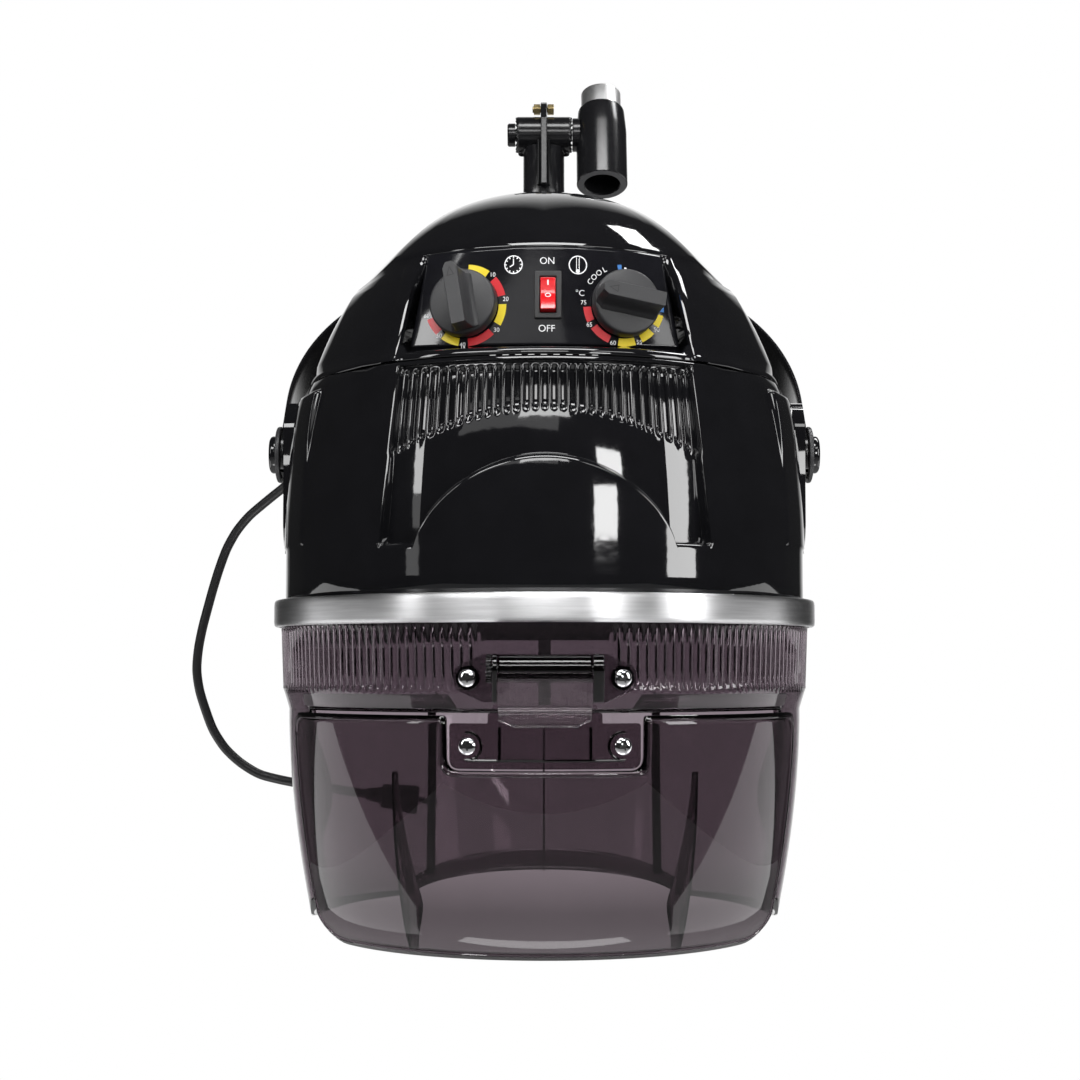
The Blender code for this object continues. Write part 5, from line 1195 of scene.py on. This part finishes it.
def yoke():
    reach_x = PAD_FACE + SEAT + STRAP_THICKNESS / 2
    half, thick = STRAP_WIDTH / 2, STRAP_THICKNESS / 2
    wide = Vector((0, YOKE_LINE.z, -YOKE_LINE.y))
    arch, round_end, power = 96, 10, 2 / YOKE_POWER
    stations = []
    for i in range(round_end):
        turn = pi / 2 * i / round_end
        stations.append((-reach_x, -half * cos(turn), max(0.08, sin(turn))))
    stations.append((-reach_x, YOKE_LEG * 0.5, 1.0))
    for i in range(arch // 2 + 1):
        turn = pi * i / arch
        stations.append((-reach_x * cos(turn) ** power, mix(YOKE_LEG, YOKE_REACH, sin(turn) ** power), 1.0))
    stations += [(-x, reach, share) for x, reach, share in stations[-2::-1]]
    section = [(across, -1) for across in (-1, -0.93, -0.6, 0, 0.6, 0.93, 1)]
    section += [(-across, 1) for across, _ in section]

    def point(row, column):
        x, reach, share = stations[row]
        before, after = stations[max(0, row - 1)], stations[min(len(stations) - 1, row + 1)]
        along = Vector((after[0] - before[0], after[1] - before[1])).normalized()
        across, lift = section[column]
        lift *= thick * (0.55 if abs(across) == 1 else 1.0)
        spot = PIVOT + Vector((x - along.y * lift, 0, 0)) + YOKE_LINE * (reach + along.x * lift)
        return spot + wide * half * share * across

    strap = grid(len(stations), len(section), point)
    add("yoke_strap", strap, "steel_black", "post", "yoke_band", sharp=40)


def pivot(side, word):
    axis = aimed((side, 0, 0), PIVOT)
    stud, low = 5.4, PAD_FACE + STRAP_THICKNESS + 2 * SEAT
    washer = [(stud, low), (19, low), (19.5, low + 0.5), (19.5, low + 2), (19, low + 2.8), (18, low + 3.2)]
    washer.append((stud, low + 3.2))
    add(f"pivot_washer_{word}", moved(turned(washer), axis), "charcoal", "hood", f"pivot_disc_{word}")
    low += 3.5
    top = low + 4.8
    button = [(stud, low), (12.6, low), (13, low + 0.4), (13, top - 2.2), (12.5, top - 1), (11.4, top - 0.2)]
    button += [(10, top), (8, top - 0.5), (0, top - 0.9), (0, low + 2.8), (stud, low + 2.8)]
    add(f"pivot_button_{word}", moved(turned(button), axis), "gloss_black", "hood", f"pivot_cap_{word}")
    rows, columns = 60, 17

    def point(row, column):
        height = mix(PAD_LOW, PAD_HIGH, row / (rows - 1))
        short = max(0.0, PAD_HALF - min(height - PAD_LOW, PAD_HIGH - height))
        half = max(PAD_HALF * 0.35, sqrt(PAD_HALF**2 - short**2))
        y = half * (2 * column / (columns - 1) - 1)
        face = PAD_FACE - 0.6 * ease(abs(y) / half, 0.94, 1.0)
        if column in (0, columns - 1):
            wide = dome_half(height)
            deep = wide * (FRONT_DEPTH if y < 0 else REAR_DEPTH) / HALF_WIDTH
            face = wide * sqrt(1 - (y / deep) ** 2) + SEAT
        return side * face, y, height

    pad = grid(rows, columns, point, closed=False)
    add(f"pivot_plate_{word}", pad, "gloss_black", "hood", f"pivot_pad_{word}", sharp=40)


def weld(path, radius):
    """A rippled weld bead along points."""
    return tube(path, lambda i: radius * (1 + 0.22 * sin(i * 2.1)), 10)


def post():
    radius, knuckle, half = POST_RADIUS, KNUCKLE_RADIUS, KNUCKLE_HALF
    sides = 64

    def pipe(row, column):
        x, y = around(radius, column / sides)
        foot = CROWN.z + STRAP_THICKNESS - y + 0.4
        cheek = sqrt(max(0.0, knuckle**2 - y**2))
        top = KNUCKLE.z - max(cheek + SEAT, knuckle * 0.2 + SEAT, 11)
        return x, CROWN.y + y, mix(foot, top, row)

    add("post_pipe", grid(2, sides, pipe), "steel_black", "post", "post_tube", wall=2.4)
    around_teeth, tooth = 4 * 20, 1.2
    stations = (-half, 2.4 - half, 3 - half, half - 3, half - 2.4, half)

    def sleeve(row, column):
        own, at = knuckle, stations[row]
        if abs(at) == half:
            own -= 0.7
            at *= 1 - tooth / half if column % 4 in (1, 2) else 1
        return *around(own, column / around_teeth), at

    rim = moved(grid(len(stations), around_teeth, sleeve), aimed((1, 0, 0), KNUCKLE))
    add("knuckle_sleeve", rim, "steel_black", "post", "knuckle_tube", wall=8.6, sharp=30)
    reach, front, top, foot = knuckle + SEAT, -radius - 8, knuckle + 10, -44
    outline = [(front, foot), (front, reach / 2), (-reach, top * 0.85), (-reach / 2, top), (reach / 2, top)]
    outline += [around(reach, mix(62, 180, i / 20) / 360) for i in range(21)]
    outline += [(-radius - SEAT, -knuckle / 2), (-radius - SEAT, foot)]
    plate = moved(extruded(outline, -2.5, 2.5), Matrix.Translation(KNUCKLE) @ SIDEWAYS)
    add("gusset_rib", plate, "steel_black", "post", "gusset_plate", bevel=0.8)
    beads = []
    for side in (-1, 1):
        run = [KNUCKLE + Vector((side * 3.2, -radius - 0.6, mix(foot + 1, -8, i / 55))) for i in range(56)]
        ring = []
        for i in range(40):
            turn = radians(mix(24, 168, i / 39))
            x = 6 + 12 * sqrt(sin(turn))
            y = -radius * cos(asin(min(0.98, x / radius))) * cos(turn)
            z = -sqrt(knuckle**2 - min(knuckle - 1, abs(y)) ** 2) - 0.6
            ring.append(KNUCKLE + Vector((side * x, y, z)))
        beads += [weld(run, 1.9), weld(ring, 1.8)]
    add("weld_beads", merged(*beads), "steel_black", "post", sharp=60)
    line = aimed((1, 0, 0), KNUCKLE + Vector((0, -reach / 6, knuckle + 5.6)))
    near, far = 2.8, 7.8
    hexagon = [around(4.4, i / 6) for i in range(6)]
    shank = [around(2.5, i / 24) for i in range(24)]
    bolt = merged(extruded(hexagon, near, far), extruded(shank, -far - 1, near))
    add("gusset_screw", moved(bolt, line), "zinc_yellow", "post", "gusset_bolt", bevel=0.4)
    nut = moved(extruded(hexagon, -far, -near), line)
    add("gusset_hexnut", nut, "zinc_yellow", "post", "gusset_nut", bevel=0.4)


def socket():
    stand = aimed(SOCKET_UP, MOUTH)
    across = aimed((1, 0, 0), KNUCKLE)
    length, seat, sides = 68, 15.8, 80
    profile = [(BORE, 0.6), (BORE + 0.6, 0), (19, 0), (19.6, 0.6), (19.6, length * 0.7)]
    profile.append((19.4, length * 0.74))
    profile += [(18.2, length - 2), (17.6, length - 0.4), (17.2, length), (seat, length), (seat, length - 16)]
    profile.append((BORE, length - 16))
    sleeve = moved(turned(profile, sides), stand)
    add("socket_body", sleeve, "steel_black", "socket", "socket_sleeve", sharp=40)
    ring = [(BORE + 0.7, -0.12), (18.9, -0.12), (18.9, 0.3), (BORE + 0.7, 0.3)]
    add("socket_end", moved(turned(ring, sides), stand), "cut_steel", "socket")
    face = KNUCKLE_HALF + SEAT
    boss = [(0, face), (12.4, face), (13, face + 0.6), (13, 28), (0, 28)]
    add("socket_boss", moved(turned(boss), across), "steel_black", "socket")
    bolt = [(0, -face - 6), (8, -face - 6), (9, -face - 5), (9, -face), (4.5, -face), (4.5, 22), (0, 22)]
    add("knuckle_screw", moved(turned(bolt, 48), across), "steel_black", "socket", "knuckle_bolt", sharp=30)
    low, high = length - 15.7, length + 16
    stub = [(BORE, low), (15.5, low), (15.5, high - 0.6), (15, high), (14, high), (BORE, high - 0.6)]
    add("socket_tube", moved(turned(stub, sides), stand), "tube_chrome", "socket", "socket_bush", sharp=40)


# Diffuser under the heater

def bowl_height(half_width):
    flat = 64
    return mix(43, 6.7, within((half_width - flat) / (BOWL_EDGE - flat)) ** 1.6)


def diffuser():
    columns = 180
    halves = [181, 174, 169] + [mix(BOWL_EDGE, 6, i / 44) for i in range(1, 45)]

    def point(row, column):
        return plan_point(halves[row], tau * column / columns, bowl_height(halves[row]) - 0.4)

    def keep(row, column):
        holed = 40 < (halves[row] + halves[row + 1]) / 2 < 150
        return not (holed and row % 3 == 1 and column % 4 == (row // 3) % 2 * 2)

    skin = grid(len(halves), columns, point, tip=(0, 0, 42.6), keep=keep)
    add("diffuser_shell", skin, "steel_black", "hood", "diffuser_bowl", wall=1.4)
    skirt = oval([(171, 4), (172.4, 4), (171.4, -15), (170, -15)], 200)
    add("diffuser_skirt", skirt, "steel_black", "hood")


# Mains cord

def cord_route(gland):
    start = gland @ Vector((0, 0, GLAND_LENGTH + 2 * SEAT))
    second = gland @ Vector((0, 0, GLAND_LENGTH + 2 * CORD_DIAMETER))
    bow = [(-39.6, 19, -18.7), (-56.7, 27, -33.3), (-69, 33, -51.8), (-77.5, 38, -73.7), (-84.3, 42, -95.7)]
    bow += [(-90, 44, -117.9), (-93, 46, -137.8), (-92.1, 47, -154.7), (-86.2, 48.5, -175.5)]
    bow += [(-77.2, 50, -196.3), (-62.9, 52, -212.6), (-44.6, 53.5, -224.2), (-25.5, 55, -229)]
    bow += [(14.9, 60, -237), (33.1, 64, -239.6)]
    inset = Vector((0.12, 0, 0))
    points = [start, second] + [start + Vector(offset) for offset in bow]
    return [point + inset for point in smooth_route(points, 2.2 * CORD_DIAMETER)]


def mains_cord():
    turn = radians(240)
    gland = aimed(outward(turn), plan_point(dome_half(GLAND_HEIGHT), turn, GLAND_HEIGHT))
    ribs = [(3.8, -4), (5.4, -4), (5.4, 1.2), (8.2, 1.2), (8.5, 1.6), (8.5, 4.6), (8, 5.2)]
    for i in range(8):
        z, wide = mix(6, GLAND_LENGTH - 1.4, i / 7), mix(7.2, 5.2, i / 7)
        ribs += [(wide - 0.9, z - 0.7), (wide, z - 0.3), (wide, z + 0.6), (wide - 0.9, z + 1)]
    ribs.append((3.8, GLAND_LENGTH))
    add("gland_boot", moved(turned(ribs, 32), gland), "cord_black", "hood", "cord_gland")
    route = cord_route(gland)
    curve = bpy.data.curves.new("mains_lead", "CURVE")
    curve.dimensions = "3D"
    curve.bevel_depth = CORD_DIAMETER / 2 * MM
    curve.bevel_resolution = 5
    curve.resolution_u = 6
    curve.use_fill_caps = True
    spline = curve.splines.new("BEZIER")
    spline.bezier_points.add(len(route) - 1)
    for i, (knot, point) in enumerate(zip(spline.bezier_points, route)):
        run = (route[min(i + 1, len(route) - 1)] - route[max(i - 1, 0)]) / 7
        knot.co = TO_FRAME @ point
        knot.handle_left = TO_FRAME @ (point - run)
        knot.handle_right = TO_FRAME @ (point + run)
    lead = bpy.data.objects.new("mains_lead", curve)
    bpy.context.collection.objects.link(lead)
    curve.materials.append(LOOKS["cord_black"])
    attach(lead, "hood")
    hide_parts("mains_cord")
    line = (route[-1] - route[-2]).normalized()
    end = aimed(line, route[-1] + line * SEAT)
    relief = [(0, 0)]
    for i in range(5):
        z, wide = 2.6 * i, 4.3 + 0.42 * i
        relief += [(wide, z), (wide + 0.6, z + 0.5), (wide + 0.6, z + 1.6), (wide, z + 2.1)]
    boot = turned(relief + [(0, 14)], 32)
    body = extruded(rounded(rectangle(12.5, 11), 6, 6), 13, 40)
    for vertex in body.verts:
        if vertex.co.z < 14:
            vertex.co.x *= 0.72
            vertex.co.y *= 0.8
    plug = add("plug_body", moved(merged(boot, body), end), "cord_black", "hood", "mains_plug", bevel=1.2)
    pin = [(0, 0), (2.4, 0), (2.4, 16.6), (1.4, 18), (0, 18)]
    pins = [moved(turned(pin, 20), end @ Matrix.Translation((x, 0, 39))) for x in (-6.5, 6.5)]
    prongs = add("plug_pins", merged(*pins), "chrome", "hood")


# Camera, light and background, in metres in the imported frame

WHITE = (1, 1, 1, 1)
PALE = (0.9, 0.9, 0.9, 1)


def lamp(name, place, aim, wide, tall, glow, along=None):
    """A flat softbox of a given brightness that faces a point. Its width runs level, or along a direction."""
    out = (Vector(aim) - Vector(place)).normalized()
    across = Vector(along) if along else out.cross(Vector((0, 0, 1)))
    across = (across - out * across.dot(out)).normalized()
    light = bpy.data.lights.new(name, "AREA")
    light.shape = "RECTANGLE"
    light.size = wide
    light.size_y = tall
    light.energy = glow * pi * wide * tall
    made = bpy.data.objects.new(name, light)
    turn = Matrix((across, across.cross(out), -out)).transposed().to_4x4()
    made.matrix_world = Matrix.Translation(place) @ turn
    bpy.context.collection.objects.link(made)


def camera():
    view = bpy.data.cameras.new("camera")
    view.lens = 65.2
    view.sensor_width = 36
    holder = bpy.data.objects.new("camera", view)
    holder.location = TO_FRAME @ Vector((-3, -1350, -34.9))
    holder.rotation_euler = (radians(90 + 3.68), 0, 0)
    bpy.context.collection.objects.link(holder)
    bpy.context.scene.camera = holder


def lights():
    middle, low_middle, crown = (-0.045, -0.25, -0.3), (-0.045, -0.3, -0.5), (0.016, -0.246, -0.1)
    lean = (0, -0.8, -0.6)
    lamp("right_window", (0.86, -2.02, 0.0), middle, 0.36, 0.34, 15)
    lamp("side_window", (1.68, -1.15, 0.12), middle, 0.5, 0.95, 9)
    lamp("left_window", (-1.7, -1.2, 0.39), middle, 0.2, 0.92, 8)
    lamp("left_sill", (-1.7, -1.2, -0.16), middle, 0.2, 0.18, 1.2)
    lamp("over_strip", (0.78, 0.28, 1.18), crown, 0.8, 0.28, 12, along=(0.75, -0.66, -0.09))
    lamp("front_soft", (0.0, -1.4, 1.75), middle, 1.5, 0.6, 12)
    lamp("ring_strip", (-0.045, -2.13, 0.57), middle, 0.8, 0.3, 8)
    lamp("panel_card", (-0.196, -0.765, -0.042), (-0.045, -0.265, -0.146), 0.45, 0.087, 0.9)
    lamp("arch_left", (-1.2, -1.75, 1.15), middle, 0.9, 0.45, 10)
    lamp("arch_right", (1.1, -1.75, 1.15), middle, 0.8, 0.35, 5)
    lamp("low_right", (1.3, -0.08, -1.02), low_middle, 1.5, 0.7, 1.25, along=lean)
    lamp("low_left", (-1.39, -0.08, -1.02), low_middle, 1.5, 0.7, 1.25, along=lean)
    lamp("low_front", (-0.045, -0.75, -1.85), middle, 1.6, 0.35, 4)


def straight_ray(tree):
    """1 where the camera looks past or through the object, otherwise 0."""
    path = node(tree, "ShaderNodeLightPath").outputs
    rays = (path["Is Camera Ray"], path["Is Transmission Ray"])
    return node(tree, "ShaderNodeMath", *rays, operation="MAXIMUM").outputs[0]


def surroundings():
    """White where the camera looks past or through the object. Reflections see it dim in front."""
    world = bpy.data.worlds.new("studio")
    bpy.context.scene.world = world
    world.use_nodes = True
    tree = world.node_tree
    tree.nodes.clear()
    place = node(tree, "ShaderNodeTexCoord").outputs["Generated"]
    split = node(tree, "ShaderNodeSeparateXYZ", place).outputs
    aside = node(tree, "ShaderNodeMath", split["X"], operation="ABSOLUTE").outputs[0]
    back = node(tree, "ShaderNodeMath", aside, -0.9, split["Y"], operation="MULTIPLY_ADD").outputs[0]
    behind = node(tree, "ShaderNodeMapRange", Value=back, From_Min=0.5, From_Max=0.8, To_Min=0.02, To_Max=1.0)
    room = node(tree, "ShaderNodeBackground", Color=PALE, Strength=0.25).outputs[0]
    mirror = node(tree, "ShaderNodeBackground", Color=WHITE, Strength=behind.outputs["Result"]).outputs[0]
    white = node(tree, "ShaderNodeBackground", Color=WHITE, Strength=1.0).outputs[0]
    glossy = node(tree, "ShaderNodeLightPath").outputs["Is Glossy Ray"]
    lit = node(tree, "ShaderNodeMixShader", glossy, room, mirror).outputs[0]
    shown = node(tree, "ShaderNodeMixShader", straight_ray(tree), lit, white).outputs[0]
    node(tree, "ShaderNodeOutputWorld", Surface=shown)


def floor():
    look = bpy.data.materials.new("pale_floor")
    look.use_nodes = True
    tree = look.node_tree
    surface = tree.nodes["Principled BSDF"]
    surface.inputs["Base Color"].default_value = PALE
    surface.inputs["Roughness"].default_value = 0.9
    glow = node(tree, "ShaderNodeEmission", Color=WHITE, Strength=1.0).outputs[0]
    shown = node(tree, "ShaderNodeMixShader", straight_ray(tree), surface.outputs[0], glow).outputs[0]
    feed(tree, tree.nodes["Material Output"].inputs["Surface"], shown)
    bm = bmesh.new()
    bmesh.ops.create_grid(bm, x_segments=1, y_segments=1, size=6)
    mesh = bpy.data.meshes.new("floor")
    bm.to_mesh(mesh)
    bm.free()
    mesh.materials.append(look)
    made = bpy.data.objects.new("floor", mesh)
    made.location = (0, 0, -2.2)
    bpy.context.collection.objects.link(made)


# The whole

for entry in frame["record"]["subparts"]:
    kept = frame["nodes"][entry["node"]]
    kept.data.materials.clear()
    kept.data.materials.append(LOOKS[entry["material_slot"]])
camera()
mains_cord()
lower_shell()
upper_shell()
panel()
knob("timer_knob", -1, TIMER_REST)
knob("temperature_knob", 1, TEMPERATURE_REST)
switch()
lens()
panel_print()
trim_ring()
visor()
visor_trim()
flap()
hinge()
yoke()
pivot(-1, "left")
pivot(1, "right")
post()
socket()
diffuser()
lights()
surroundings()
floor()
bpy.context.scene.view_settings.view_transform = "Standard"
